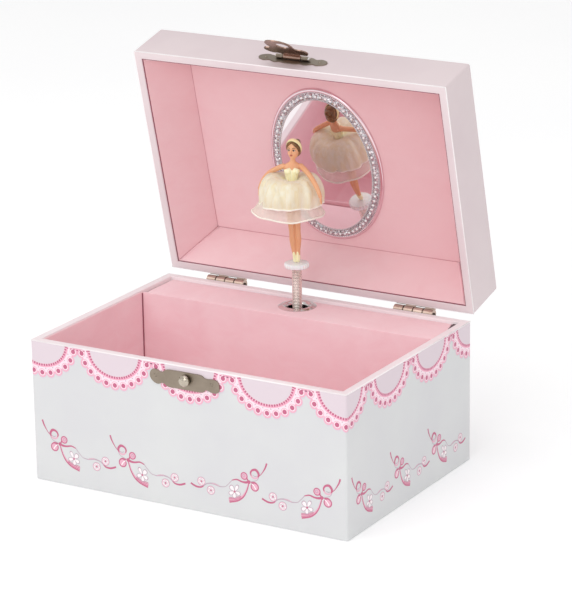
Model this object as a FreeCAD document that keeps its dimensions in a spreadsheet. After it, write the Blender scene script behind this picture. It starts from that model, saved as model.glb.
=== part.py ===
import FreeCAD, Part
import math
import os
import Sketcher

# Wind up music box: hinged box with a lined tray, a covered movement compartment,
# an oval mirror inside the lid, and a dancer on a spring that folds when the lid closes.
# Frame: millimetres, +Z up, X to the right, Y to the rear. The origin is the centre of
# the base's footprint at the bottom.  The lid is modelled closed and placed open.

V = FreeCAD.Vector
doc = FreeCAD.newDocument("music_box")
sheet = doc.addObject("Spreadsheet::Sheet", "params")
sheet.Label = "params"


class E:
    """A size: its number now, and the sheet expression that keeps it."""

    def __init__(self, v, t):
        self.v = float(v)
        self.t = t

    def _mix(self, o, op, fn, swap=False):
        ov = o.v if isinstance(o, E) else float(o)
        ot = o.t if isinstance(o, E) else repr(float(o))
        a, b = (ov, self.v) if swap else (self.v, ov)
        x, y = (ot, self.t) if swap else (self.t, ot)
        return E(fn(a, b), "(%s %s %s)" % (x, op, y))

    def __add__(self, o):
        return self._mix(o, "+", lambda a, b: a + b)

    def __radd__(self, o):
        return self._mix(o, "+", lambda a, b: a + b, True)

    def __sub__(self, o):
        return self._mix(o, "-", lambda a, b: a - b)

    def __rsub__(self, o):
        return self._mix(o, "-", lambda a, b: a - b, True)

    def __mul__(self, o):
        return self._mix(o, "*", lambda a, b: a * b)

    def __rmul__(self, o):
        return self._mix(o, "*", lambda a, b: a * b, True)

    def __truediv__(self, o):
        return self._mix(o, "/", lambda a, b: a / b)

    def __neg__(self):
        return E(-self.v, "(0 - %s)" % self.t)


def num(x):
    return x.v if isinstance(x, E) else float(x)


row = [0]


def par(alias, value, note=""):
    row[0] += 1
    r = str(row[0])
    sheet.set("A" + r, alias)
    sheet.set("B" + r, repr(float(value)))
    sheet.setAlias("B" + r, alias)
    if note:
        sheet.set("C" + r, note)
    return E(value, "params." + alias)


# ---------------------------------------------------------------- sizes
base_w = par("base_w", 181.0, "outside width")
base_d = par("base_d", 128.4, "outside depth")
base_z = par("base_z", 74.2, "base height")
lid_z = par("lid_z", 27.0, "lid depth")
lid_gap = par("lid_gap", 0.3, "paper thickness between the rims")
board = par("board", 4.2, "papered board")
floor_tk = par("floor_tk", 3.0, "floor and lid panel")
lining = par("lining", 0.6, "velour on card")
corner_r = par("corner_r", 1.1, "papered corner")
lid_open = par("lid_open", 76.0, "lid angle at rest")
hinge_y = par("hinge_y", 67.24, "hinge axis")
hinge_z = par("hinge_z", 73.24, "hinge axis")
hinge_len = par("hinge_len", 22.6, "hinge length")
hinge_left = par("hinge_left", -56.1, "left hinge centre")
hinge_right = par("hinge_right", 56.55, "right hinge centre")
knuckle_r = par("knuckle_r", 2.65, "hinge barrel radius")
hpin_r = par("hpin_r", 0.8, "hinge pin radius")
leaf_tk = par("leaf_tk", 0.8, "hinge leaf")
cover_y = par("cover_y", 31.4, "front of the movement cover")
cover_top = par("cover_top", 72.7, "top of the movement cover")
cover_tk = par("cover_tk", 2.0, "padded card cover")
cover_end = par("cover_end", 85.5, "half width of the cover")
fold_r = par("fold_r", 3.0, "padded fold")
axis_x = par("axis_x", -2.4, "dancer axis")
axis_y = par("axis_y", 49.4, "dancer axis")
grommet_r = par("grommet_r", 10.0, "grommet flange radius")
grommet_bore = par("grommet_bore", 5.6, "grommet hole radius")
spring_od = par("spring_od", 5.1, "dancer spring outside diameter")
spring_id = par("spring_id", 3.5, "dancer spring inside diameter")
spring_low = par("spring_low", 66.0, "spring lower end")
disc_z = par("disc_z", 93.5, "underside of the disc")
disc_r = par("disc_r", 6.45, "disc radius")
disc_tk = par("disc_tk", 2.8, "disc thickness")
mirror_x = par("mirror_x", 1.8, "mirror centre")
mirror_y = par("mirror_y", 1.6, "mirror centre")
mirror_a = par("mirror_a", 32.9, "frame half width")
mirror_b = par("mirror_b", 43.8, "frame half length")
glass_a = par("glass_a", 26.7, "visible glass half width")
glass_b = par("glass_b", 37.6, "visible glass half length")
frame_tk = par("frame_tk", 2.4, "mirror frame thickness")
crown_z = par("crown_z", 20.0, "winding axis height")
barrel_r = par("barrel_r", 15.5, "spring barrel radius")
cyl_r = par("cyl_r", 6.5, "cylinder radius")
cyl_low = par("cyl_low", 37.0, "cylinder lower end")
cyl_len = par("cyl_len", 18.0, "cylinder length")
wheel_mod = par("wheel_mod", 0.4, "train module")
wheel_n = par("wheel_n", 36, "train wheel teeth")
pin_n = par("pin_n", 9, "train pinion teeth")
crown_n = par("crown_n", 36, "crown teeth")
pinion_n = par("pinion_n", 12, "cylinder pinion teeth")
crown_mod = par("crown_mod", 0.75, "crown module")
wall_hole = par("wall_hole", 3.4, "key hole radius")
plate_tk = par("plate_tk", 0.6, "stamped plate")
hasp_x = par("hasp_x", -0.5, "hasp centre")
hasp_axis_z = par("hasp_axis_z", 83.7, "hasp barrel axis, lid closed")
hasp_axis_y = par("hasp_axis_y", 66.0, "hasp barrel axis, forward of centre")
hasp_lift = par("hasp_lift", 44.5, "hasp angle at rest, from hanging")
knob_x = par("knob_x", 1.5, "catch knob")
knob_z = par("knob_z", 67.5, "catch knob")
doc.recompute()

hw = base_w / 2
hd = base_d / 2
rim = base_z + lid_gap
ltop = rim + lid_z

SUBPARTS = []


def bind(obj, prop, size):
    if isinstance(size, E):
        obj.setExpression(prop, size.t)
    else:
        setattr(obj, prop, float(size))


def done(obj, label, placement=None):
    obj.Label = label
    if placement is not None:
        obj.Placement = placement
    SUBPARTS.append((label, obj))
    return obj


def pl(x=0, y=0, z=0, axis=(0, 0, 1), deg=0.0):
    return FreeCAD.Placement(V(num(x), num(y), num(z)), FreeCAD.Rotation(V(*axis), deg))


def about(point, axis, deg):
    rot = FreeCAD.Rotation(V(*axis), deg)
    p = V(*[num(c) for c in point])
    return FreeCAD.Placement(p - rot.multVec(p), rot)


LID = about((0, hinge_y, hinge_z), (1, 0, 0), -lid_open.v)
HASP = LID * about((0, -hasp_axis_y, hasp_axis_z), (1, 0, 0), -hasp_lift.v)
# a revolved part is drawn about Z; TO_Y lays its axis along +Y
TO_Y = FreeCAD.Rotation(V(1, 0, 0), -90.0)
TO_FRONT = FreeCAD.Rotation(V(1, 0, 0), 90.0)


def body(name):
    return doc.addObject("PartDesign::Body", name)


def origin_plane(b, role):
    for f in b.Origin.OriginFeatures:
        if f.Role == role:
            return f


def sketch(b, name, role, loops, offset=None):
    s = b.newObject("Sketcher::SketchObject", name)
    s.AttachmentSupport = [(origin_plane(b, role), "")]
    s.MapMode = "FlatFace"
    if offset is not None:
        s.AttachmentOffset = FreeCAD.Placement(V(0, 0, num(offset)), FreeCAD.Rotation())
        if isinstance(offset, E):
            s.setExpression("AttachmentOffset.Base.z", offset.t)

    def locate(geo, pos, x, y):
        for kind, val, ax in (("DistanceX", x, -2), ("DistanceY", y, -1)):
            if abs(num(val)) < 1e-9:
                s.addConstraint(Sketcher.Constraint("PointOnObject", geo, pos, ax))
            else:
                c = s.addConstraint(Sketcher.Constraint(kind, -1, 1, geo, pos, num(val)))
                if isinstance(val, E):
                    s.setExpression("Constraints[%d]" % c, val.t)

    for lp in loops:
        if lp[0] == "circle":
            _, x, y, r = lp
            g = s.addGeometry(Part.Circle(V(num(x), num(y), 0), V(0, 0, 1), num(r)), False)
            c = s.addConstraint(Sketcher.Constraint("Radius", g, num(r)))
            if isinstance(r, E):
                s.setExpression("Constraints[%d]" % c, r.t)
            locate(g, 3, x, y)
        else:
            n = len(lp)
            first = None
            for i in range(n):
                a, c = lp[i], lp[(i + 1) % n]
                g = s.addGeometry(
                    Part.LineSegment(V(num(a[0]), num(a[1]), 0), V(num(c[0]), num(c[1]), 0)), False
                )
                if first is None:
                    first = g
            for i in range(n):
                s.addConstraint(Sketcher.Constraint("Coincident", first + i, 2, first + (i + 1) % n, 1))
            for i in range(n):
                locate(first + i, 1, lp[i][0], lp[i][1])
    return s


def rect(x0, y0, x1, y1):
    return [(x0, y0), (x1, y0), (x1, y1), (x0, y1)]


def pad(b, s, length, name, reverse=False):
    p = b.newObject("PartDesign::Pad", name)
    p.Profile = s
    p.Length = num(length)
    if isinstance(length, E):
        p.setExpression("Length", length.t)
    p.Reversed = reverse
    s.Visibility = False
    return p


def pocket(b, s, length, name, reverse=False):
    """Cut towards the solid: the direction that removes volume is kept."""
    doc.recompute()
    before = b.Shape.Volume
    p = b.newObject("PartDesign::Pocket", name)
    p.Profile = s
    p.Length = num(length)
    if isinstance(length, E):
        p.setExpression("Length", length.t)
    p.Reversed = reverse
    doc.recompute()
    if not b.Shape.Volume < before - 1e-6:
        raise RuntimeError("pocket %s cuts nothing" % name)
    return p


def revolve(b, s, name):
    r = b.newObject("PartDesign::Revolution", name)
    r.Profile = s
    r.ReferenceAxis = (s, ["V_Axis"])
    r.Angle = 360.0
    return r


def turned(label, profile, placement, extra=None):
    b = body(label)
    s = sketch(b, label + "_profile", "XZ_Plane", [profile])
    revolve(b, s, label + "_turn")
    if extra:
        extra(b)
    return done(b, label, placement)


def edges_where(shape, test):
    out = []
    for i, e in enumerate(shape.Edges):
        pts = [v.Point for v in e.Vertexes]
        if pts and all(test(p) for p in pts):
            out.append("Edge%d" % (i + 1))
    return out


def fillet(b, base, edges, radius, name):
    if not edges:
        raise RuntimeError("no edges for " + name)
    f = b.newObject("PartDesign::Fillet", name)
    f.Base = (base, edges)
    f.Radius = num(radius)
    if isinstance(radius, E):
        f.setExpression("Radius", radius.t)
    return f


def near(a, b, tol=1e-3):
    return abs(a - num(b)) < tol


def panel(label, x0, y0, x1, y1, z0, height, round_edges=None, placement=None, round_r=None, more=None):
    """A board: a rectangle padded up from z0, with its outside corners rounded."""
    b = body(label)
    s = sketch(b, label + "_plan", "XY_Plane", [rect(x0, y0, x1, y1)], z0)
    p = pad(b, s, height, label + "_pad")
    doc.recompute()
    if round_edges is not None:
        fillet(b, p, edges_where(p.Shape, round_edges), round_r or corner_r, label + "_round")
        doc.recompute()
    if more:
        more(b)
    return done(b, label, placement)


def solid_feature(label, shape, placement=None):
    f = doc.addObject("Part::Feature", label)
    f.Shape = shape
    return done(f, label, placement)


def cyl(name, r, length, place):
    c = doc.addObject("Part::Cylinder", name)
    bind(c, "Radius", r)
    bind(c, "Height", length)
    c.Placement = place
    return c


def box(name, x0, y0, z0, lx, ly, lz):
    c = doc.addObject("Part::Box", name)
    bind(c, "Length", lx)
    bind(c, "Width", ly)
    bind(c, "Height", lz)
    c.Placement = pl(x0, y0, z0)
    return c


def fuse(name, parts):
    f = doc.addObject("Part::MultiFuse", name)
    f.Shapes = parts
    return f


def cut(name, a, b):
    f = doc.addObject("Part::Cut", name)
    f.Base = a
    f.Tool = b
    return f


def compound(name, parts):
    f = doc.addObject("Part::Compound", name)
    f.Links = parts
    return f


# ---------------------------------------------------------------- base boards
panel("base_floor_panel", -(hw - board), -(hd - board), hw - board, hd - board, 0, floor_tk)


def outer_front(p):
    return near(p.y, -hd) and near(abs(p.x), hw)


def outer_rear(p):
    return near(p.y, hd) and near(abs(p.x), hw)


panel("base_front_wall", -hw, -hd, hw, -(hd - board), 0, base_z, outer_front)


def key_hole(b):
    s = sketch(b, "key_hole_plan", "XZ_Plane", [("circle", axis_x, crown_z, wall_hole)], -(hd + 1))
    pocket(b, s, board + 3, "key_hole_cut", reverse=True)


panel("base_rear_wall", -hw, hd - board, hw, hd, 0, base_z, outer_rear, more=key_hole)
panel("base_left_wall", -hw, -(hd - board), -(hw - board), hd - board, 0, base_z)
panel("base_right_wall", hw - board, -(hd - board), hw, hd - board, 0, base_z)

# ---------------------------------------------------------------- tray lining and movement cover
b = body("tray_lining")
s = sketch(b, "tray_plan", "XY_Plane", [rect(-(hw - board), -(hd - board), hw - board, cover_y)], floor_tk)
p = pad(b, s, base_z - floor_tk - 0.6, "tray_pad")
ix = hw - board - lining
iy = -(hd - board - lining)
s = sketch(
    b,
    "tray_inner",
    "XY_Plane",
    [
        [
            (2.4 - ix, iy),
            (ix - 2.4, iy),
            (ix - 1.1, iy + 0.3),
            (ix - 0.3, iy + 1.1),
            (ix, iy + 2.4),
            (ix, cover_y + 5),
            (-ix, cover_y + 5),
            (-ix, iy + 2.4),
            (0.3 - ix, iy + 1.1),
            (1.1 - ix, iy + 0.3),
        ]
    ],
    base_z + 2,
)
pocket(b, s, base_z + 2 - floor_tk - lining, "tray_hollow")
done(b, "tray_lining")

b = body("movement_cover")
s = sketch(
    b,
    "cover_section",
    "YZ_Plane",
    [
        [
            (cover_y, floor_tk),
            (cover_y + cover_tk, floor_tk),
            (cover_y + cover_tk, cover_top - cover_tk),
            (hd - board - 0.2, cover_top - cover_tk),
            (hd - board - 0.2, cover_top),
            (cover_y, cover_top),
        ]
    ],
    -cover_end,
)
p = pad(b, s, cover_end * 2, "cover_pad")
doc.recompute()
f = fillet(b, p, edges_where(p.Shape, lambda q: near(q.y, cover_y) and near(q.z, cover_top)), fold_r, "cover_fold")
doc.recompute()
f = fillet(
    b,
    f,
    edges_where(f.Shape, lambda q: near(q.y, cover_y + cover_tk) and near(q.z, cover_top - cover_tk)),
    1.0,
    "cover_fold_inside",
)
s = sketch(b, "cover_hole", "XY_Plane", [("circle", axis_x, axis_y, 6.9)], cover_top + 2)
pocket(b, s, 8, "cover_hole_cut")
s = sketch(
    b,
    "cover_gap",
    "XY_Plane",
    [[(cover_end + 1, 46.0), (cover_end + 1, 62.0), (cover_end - 3.6, 62.0), (cover_end - 3.4, 59.0)]],
    cover_top + 2,
)
pocket(b, s, 8, "cover_gap_cut")
done(b, "movement_cover")

turned(
    "deck_grommet",
    [
        (grommet_bore, -3.6),
        (6.7, -3.6),
        (6.7, 0.0),
        (grommet_r, 0.0),
        (grommet_r, 0.25),
        (grommet_r - 1.2, 0.75),
        (7.6, 0.95),
        (6.5, 0.6),
        (grommet_bore + 0.35, 0.1),
        (grommet_bore, -0.6),
    ],
    pl(axis_x, axis_y, cover_top),
)


# ---------------------------------------------------------------- stamped plates
def outline_face(points):
    """A closed smooth outline through the points, as a face in the XZ plane."""
    c = Part.BSplineCurve()
    c.interpolate([V(x, 0, z) for x, z in points], PeriodicFlag=True)
    return Part.Face(Part.Wire([c.toShape()]))


def mirrored(points):
    return points + [(-x, z) for x, z in reversed(points) if abs(x) > 1e-6]


def plate_solid(points, x, z, y_front, tk, holes):
    """A stamped plate lying on y_front, thick towards -Y."""
    f = outline_face(points)
    sol = f.extrude(V(0, -tk, 0))
    sol.translate(V(x, y_front, z))
    for hx, hz, hr in holes:
        sol = sol.cut(Part.makeCylinder(hr, tk + 4, V(hx, y_front + 2, hz), V(0, -1, 0)))
    return sol


CATCH = [
    (-19.3, 0.4),
    (-19, 1.9),
    (-18, 3.1),
    (-16.5, 3.6),
    (-14.8, 3.4),
    (-13.4, 2.75),
    (-12, 2.75),
    (-10.7, 3.7),
    (-9.2, 4.25),
    (-6, 4.45),
    (0, 4.5),
    (6, 4.45),
    (9.6, 4.35),
    (10.9, 4),
    (12, 3.2),
    (13.4, 2.95),
    (15.2, 3.1),
    (17.6, 3.2),
    (19.1, 2.8),
    (20.2, 1.6),
    (20.6, 0.1),
    (20.5, -1.5),
    (19.9, -2.8),
    (18.9, -3.45),
    (17.2, -3.6),
    (15.4, -3.45),
    (13.7, -2.9),
    (12.5, -3.05),
    (11.6, -3.95),
    (10.3, -4.35),
    (6, -4.45),
    (0, -4.5),
    (-6, -4.5),
    (-8.6, -4.45),
    (-9.8, -4),
    (-11, -3.15),
    (-12.4, -3.05),
    (-13.8, -3.6),
    (-15.3, -3.75),
    (-16.9, -3.2),
    (-18.3, -2.1),
    (-19.1, -0.9),
]
catch_z = par("catch_z", 66.9, "catch plate centre")
nail_xs = (-15.9, 16.3)
solid_feature(
    "catch_plate",
    plate_solid(
        CATCH,
        0.0,
        catch_z.v,
        -hd.v,
        plate_tk.v,
        [(knob_x.v, knob_z.v, 1.75)] + [(x, catch_z.v + 0.6, 0.5) for x in nail_xs],
    ),
)

turned(
    "catch_knob",
    [
        (0, -2.0),
        (1.1, -2.0),
        (1.1, 0.0),
        (1.7, 0.0),
        (1.7, 1.2),
        (2.6, 1.4),
        (2.95, 2.0),
        (2.85, 2.8),
        (2.4, 3.4),
        (1.6, 3.8),
        (0.7, 3.97),
        (0, 4.0),
    ],
    FreeCAD.Placement(V(knob_x.v, -hd.v, knob_z.v), TO_FRONT),
)


def nails(label, places, axis_rot, placement=None, head=0.95, shank=0.45, length=3.0, head_tk=0.45, lift=0.0):
    """Round-headed nails or screws; each is a shank and a domed head in one."""
    parts = []
    for i, (x, y, z) in enumerate(places):
        pr = Part.makeCylinder(shank, length, V(0, 0, -length))
        dome = Part.makeCone(head, head * 0.6, head_tk, V(0, 0, 0))
        one = pr.fuse(dome).removeSplitter()
        one.Placement = FreeCAD.Placement(V(x, y, z), axis_rot)
        parts.append(one)
    return solid_feature(label, Part.makeCompound(parts), placement)


face_y = -(hd.v + plate_tk.v)
nails(
    "catch_nails",
    [(x, face_y, catch_z.v + 0.6) for x in nail_xs],
    TO_FRONT,
)

# ---------------------------------------------------------------- hinges
seg = hinge_len / 4


def hinge_leaf(label, xc, segs, lid_side):
    """A leaf with two knuckles: a joggled strip on the rear face, drawn in the YZ plane."""
    b = body(label)
    sgn = -1 if lid_side else 1

    def zz(d):
        # distance below the axis on the base, above it on the lid
        return hinge_z - d if not lid_side else hinge_z + d

    x0 = xc - hinge_len / 2
    s = sketch(
        b,
        label + "_leaf_plan",
        "YZ_Plane",
        [rect(hd, zz(11.6), hd + leaf_tk, zz(2.1))],
        x0 + 0.15,
    )
    p = pad(b, s, hinge_len - 0.3, label + "_leaf")
    for k in segs:
        xs = x0 + seg * float(k)
        s = sketch(
            b,
            label + "_web_plan%d" % k,
            "YZ_Plane",
            [
                [
                    (hd, zz(3.2)),
                    (hd + leaf_tk, zz(3.2)),
                    (hinge_y - 0.9, zz(1.75)),
                    (hinge_y, zz(1.45)),
                    (hinge_y, zz(1.0)),
                    (hinge_y - 1.05, zz(0.75)),
                    (hd, zz(2.3)),
                ]
            ],
            xs + 0.1,
        )
        pad(b, s, seg - 0.2, label + "_web%d" % k)
        s = sketch(
            b,
            label + "_knuckle_plan%d" % k,
            "YZ_Plane",
            [("circle", hinge_y, hinge_z, knuckle_r), ("circle", hinge_y, hinge_z, hpin_r + 0.05)],
            xs + 0.1,
        )
        pad(b, s, seg - 0.2, label + "_knuckle%d" % k)
    for i, dx in enumerate((-7.5, 7.5)):
        s = sketch(
            b,
            label + "_screw_plan%d" % i,
            "XZ_Plane",
            [("circle", xc + dx, zz(7.4), 1.0)],
            -(hd + 3),
        )
        pocket(b, s, 4, label + "_screw_hole%d" % i, reverse=True)
    doc.recompute()
    return done(b, label, LID if lid_side else None)


hinge_leaf("hinge_leaf_base_left", hinge_left, (0, 2), False)
hinge_leaf("hinge_leaf_base_right", hinge_right, (0, 2), False)
hinge_leaf("hinge_leaf_lid_left", hinge_left, (1, 3), True)
hinge_leaf("hinge_leaf_lid_right", hinge_right, (1, 3), True)
for side, xc in (("left", hinge_left), ("right", hinge_right)):
    half = hinge_len / 2
    b = body("hinge_pin_" + side)
    s = sketch(
        b,
        "hinge_pin_profile_" + side,
        "XZ_Plane",
        [
            [
                (0, -half - 0.5),
                (0.9, -half - 0.5),
                (1.15, -half - 0.15),
                (1.15, -half),
                (hpin_r, -half),
                (hpin_r, half),
                (1.15, half),
                (1.15, half + 0.15),
                (0.9, half + 0.5),
                (0, half + 0.5),
            ]
        ],
    )
    revolve(b, s, "hinge_pin_turn_" + side)
    done(b, "hinge_pin_" + side, pl(xc, hinge_y, hinge_z, (0, 1, 0), 90.0))

rear_y = hd.v + leaf_tk.v
screw_at = [(c + d) for c in (hinge_left.v, hinge_right.v) for d in (-7.5, 7.5)]
nails("hinge_screws_base", [(x, rear_y, hinge_z.v - 7.4) for x in screw_at], TO_Y, None, 1.6, 0.8, 3.6, 0.7)
nails("hinge_screws_lid", [(x, rear_y, hinge_z.v + 7.4) for x in screw_at], TO_Y, LID, 1.6, 0.8, 3.6, 0.7)

# ---------------------------------------------------------------- lid
wall_top = ltop - floor_tk
panel(
    "lid_top_panel",
    -hw,
    -hd,
    hw,
    hd,
    wall_top,
    floor_tk,
    lambda p: near(abs(p.x), hw) and near(abs(p.y), hd),
    LID,
)


panel("lid_front_wall", -hw, -hd, hw, -(hd - board), rim, lid_z - floor_tk, outer_front, LID)
panel("lid_rear_wall", -hw, hd - board, hw, hd, rim, lid_z - floor_tk, outer_rear, LID)
panel("lid_left_wall", -hw, -(hd - board), -(hw - board), hd - board, rim, lid_z - floor_tk, None, LID)
panel("lid_right_wall", hw - board, -(hd - board), hw, hd - board, rim, lid_z - floor_tk, None, LID)

# padded lining: card slopes in from the rim to a flat inner panel
panel_z = wall_top - 0.8
lx, ly = (hw - board).v, (hd - board).v
block = Part.makeBox(2 * lx, 2 * ly, wall_top.v - rim.v - 0.8, V(-lx, -ly, rim.v + 0.8))


def ring(x, y, z):
    return Part.makePolygon([V(-x, -y, z), V(x, -y, z), V(x, y, z), V(-x, y, z), V(-x, -y, z)])


hollow = Part.makeLoft(
    [ring(lx - 0.5, ly - 0.5, rim.v + 0.79), ring(72.8, 49.0, panel_z.v)],
    True,
    True,
)
solid_feature("lid_lining", block.cut(hollow), LID)

# oval mirror: a flat frame with a rebate over the glass
face_z = panel_z.v


def oval(a, b, z0, tk):
    e = Part.Ellipse(V(0, 0, 0), b, a).toShape()
    e.Placement = FreeCAD.Placement(V(mirror_x.v, mirror_y.v, z0), FreeCAD.Rotation(V(0, 0, 1), 90.0))
    return Part.Face(Part.Wire([e])).extrude(V(0, 0, tk))


fr = oval(mirror_a.v, mirror_b.v, face_z - frame_tk.v, frame_tk.v)
fr = fr.cut(oval(glass_a.v, glass_b.v, face_z - frame_tk.v - 1, frame_tk.v + 2))
fr = fr.cut(oval(glass_a.v + 1.6, glass_b.v + 1.6, face_z - 1.5, 3.0))
solid_feature("mirror_frame", fr, LID)
solid_feature("mirror_glass", oval(glass_a.v + 1.5, glass_b.v + 1.5, face_z - 1.45, 1.45), LID)

# ---------------------------------------------------------------- hasp on the lid front
HPLATE = mirrored(
    [
        (0.0, 3.9),
        (3.4, 3.9),
        (6.0, 3.3),
        (8.4, 3.8),
        (10.6, 3.3),
        (12.6, 2.4),
        (14.6, 3.0),
        (17.2, 2.6),
        (19.2, 1.4),
        (19.7, 0.0),
        (19.2, -1.4),
        (17.2, -2.6),
        (14.6, -3.0),
        (12.6, -2.4),
        (10.6, -3.3),
        (8.4, -3.8),
        (6.0, -3.3),
        (3.4, -3.9),
        (0.0, -3.9),
    ]
)
hz, hy, hx = hasp_axis_z.v, -hasp_axis_y.v, hasp_x.v
kn_r, kn_bore = 1.1, 0.62
hp = plate_solid(HPLATE, hx, hz, -hd.v, plate_tk.v, [(hx - 15.6, hz, 0.5), (hx + 15.6, hz, 0.5)])
for xa in (hx - 9.3, hx + 5.4):
    k = Part.makeCylinder(kn_r, 3.8, V(xa, hy, hz), V(1, 0, 0))
    web = Part.makeBox(3.8, 0.8, 1.3, V(xa, -hd.v - plate_tk.v - 0.7, hz + 0.0))
    hp = hp.fuse(web.fuse(k).cut(Part.makeCylinder(kn_bore, 6, V(xa - 1, hy, hz), V(1, 0, 0))))
solid_feature("hasp_plate", hp.removeSplitter(), LID)
nails("hasp_nails", [(hx - 15.6, face_y, hz), (hx + 15.6, face_y, hz)], TO_FRONT, LID)
b = body("hasp_pin")
s = sketch(
    b,
    "hasp_pin_profile",
    "XZ_Plane",
    [[(0, -9.7), (0.85, -9.7), (0.85, -9.4), (0.56, -9.4), (0.56, 9.3), (1.0, 9.3), (1.0, 9.9), (0.6, 10.2), (0, 10.2)]],
)
revolve(b, s, "hasp_pin_turn")
done(b, "hasp_pin", LID * pl(hx, hy, hz, (0, 1, 0), 90.0))

HASP_OUT = mirrored(
    [
        (0.0, 0.9),
        (4.6, 0.9),
        (4.8, -1.6),
        (6.6, -3.4),
        (9.4, -3.2),
        (11.1, -4.6),
        (12.3, -7.0),
        (11.8, -9.6),
        (10.0, -10.9),
        (8.2, -10.9),
        (6.8, -12.0),
        (7.0, -14.2),
        (7.1, -17.2),
        (6.2, -20.0),
        (3.9, -22.1),
        (1.6, -22.8),
        (0.0, -23.0),
    ]
)
hole_x = knob_x.v + 0.1
hs = plate_solid(HASP_OUT, hx, hz, hy - 0.5, plate_tk.v, [(hole_x, knob_z.v, 3.5)])
k = Part.makeCylinder(kn_r, 10.0, V(hx - 5.0, hy, hz), V(1, 0, 0))
k = k.cut(Part.makeCylinder(kn_bore, 12, V(hx - 6.0, hy, hz), V(1, 0, 0)))
# the plate is cut back outside the knuckle ends so it clears the fixed knuckles
trim = Part.makeBox(30, 6, 3.2, V(hx - 15, hy - 3, hz - 1.45)).cut(Part.makeBox(10.0, 8, 6, V(hx - 5.0, hy - 4, hz - 3)))
above = Part.makeBox(30, 12, 8, V(hx - 15, hy - 6, hz - 0.05))
hs = hs.cut(trim).cut(above).cut(Part.makeCylinder(kn_bore, 30, V(hx - 15.0, hy, hz), V(1, 0, 0))).fuse(k)
solid_feature("hasp", hs.removeSplitter(), HASP)

# ---------------------------------------------------------------- movement: gears
def gear_face(n, mod, add, ded, w_root, w_pitch, w_tip, phase):
    """Flat gear outline: straight-flanked teeth, widths as a share of the pitch."""
    pts = []
    rp = n * mod / 2.0
    for i in range(int(n)):
        a = 2 * math.pi * i / n + phase
        for r, w, sg in (
            (rp - ded, w_root, -1),
            (rp, w_pitch, -1),
            (rp + add, w_tip, -1),
            (rp + add, w_tip, 1),
            (rp, w_pitch, 1),
            (rp - ded, w_root, 1),
        ):
            t = a + sg * w * math.pi * mod / 2.0 / r
            pts.append(V(r * math.cos(t), r * math.sin(t), 0))
    return Part.Face(Part.makePolygon(pts + [pts[0]]))


def spur(n, mod, z0, tk, phase, bore=0.0):
    f = gear_face(n, mod, 0.85 * mod, 1.15 * mod, 0.52, 0.42, 0.2, phase)
    g = f.extrude(V(0, 0, tk))
    g.translate(V(0, 0, z0))
    if bore:
        g = g.cut(Part.makeCylinder(bore, tk + 2, V(0, 0, z0 - 1)))
    return g


ax, ay, cz = axis_x.v, axis_y.v, crown_z.v
CYL_AT = FreeCAD.Placement(V(ax, ay, 0), FreeCAD.Rotation())
dist = wheel_mod.v * (wheel_n.v + pin_n.v) / 2.0
gov_y = ay - 2.2
gov_x = ax + math.sqrt(dist**2 - (ay - gov_y) ** 2)
fan_y = gov_y - 2.6
fan_x = gov_x + math.sqrt(dist**2 - (gov_y - fan_y) ** 2)


def mesh_phase(n_drive, ph_drive, n, x0, y0, x1, y1):
    """Phase that puts a gap of gear n opposite a tooth of the driving gear."""
    d = math.atan2(y1 - y0, x1 - x0)
    into = ((d - ph_drive) / (2 * math.pi / n_drive)) % 1.0
    back = d + math.pi
    # going one way on the driver is the other way on the follower
    return back + (into + 0.5) * 2 * math.pi / n


# spring barrel, its crown wheel and the mainspring, turning about Y
def about_y(shape):
    shape.Placement = FreeCAD.Placement(V(ax, 0, cz), TO_Y)
    return shape


turned(
    "spring_barrel",
    [
        (2.08, 35.4),
        (barrel_r, 35.4),
        (barrel_r, 43.0),
        (barrel_r - 1.2, 43.0),
        (barrel_r - 1.2, 36.4),
        (2.08, 36.4),
    ],
    FreeCAD.Placement(V(ax, 0, cz), TO_Y),
)
crown = Part.makeCylinder(barrel_r.v, 1.0, V(0, 0, 43.0))
rc = crown_n.v * crown_mod.v / 2.0
tooth = Part.Face(
    Part.makePolygon(
        [V(12.0, -0.56, 43.9), V(12.0, 0.56, 43.9), V(12.0, 0.42, 44.9), V(12.0, 0.22, 45.4), V(12.0, -0.22, 45.4), V(12.0, -0.42, 44.9), V(12.0, -0.56, 43.9)]
    )
).extrude(V(3.0, 0, 0))
teeth = []
for i in range(int(crown_n.v)):
    t = tooth.copy()
    t.rotate(V(0, 0, 0), V(0, 0, 1), 360.0 * i / crown_n.v)
    teeth.append(t)
crown = crown.multiFuse(teeth).cut(Part.makeCylinder(2.08, 6, V(0, 0, 41)))
solid_feature("crown_wheel", crown.removeSplitter(), FreeCAD.Placement(V(ax, 0, cz), TO_Y))

pts_out, pts_in = [], []
turns, steps = 6.0, 22
total = int(turns * steps)
for i in range(total + 1):
    t = 2 * math.pi * i / steps
    # packed towards the wall of the barrel, as a part-wound spring lies
    r = 3.2 + (13.6 - 3.2) * (i / total) ** 0.62
    pts_out.append(V((r + 0.2) * math.cos(t), (r + 0.2) * math.sin(t), 36.8))
    pts_in.append(V((r - 0.2) * math.cos(t), (r - 0.2) * math.sin(t), 36.8))
strip = Part.Face(Part.makePolygon(pts_out + pts_in[::-1] + [pts_out[0]]))
solid_feature("mainspring", strip.extrude(V(0, 0, 5.4)), FreeCAD.Placement(V(ax, 0, cz), TO_Y))

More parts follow.
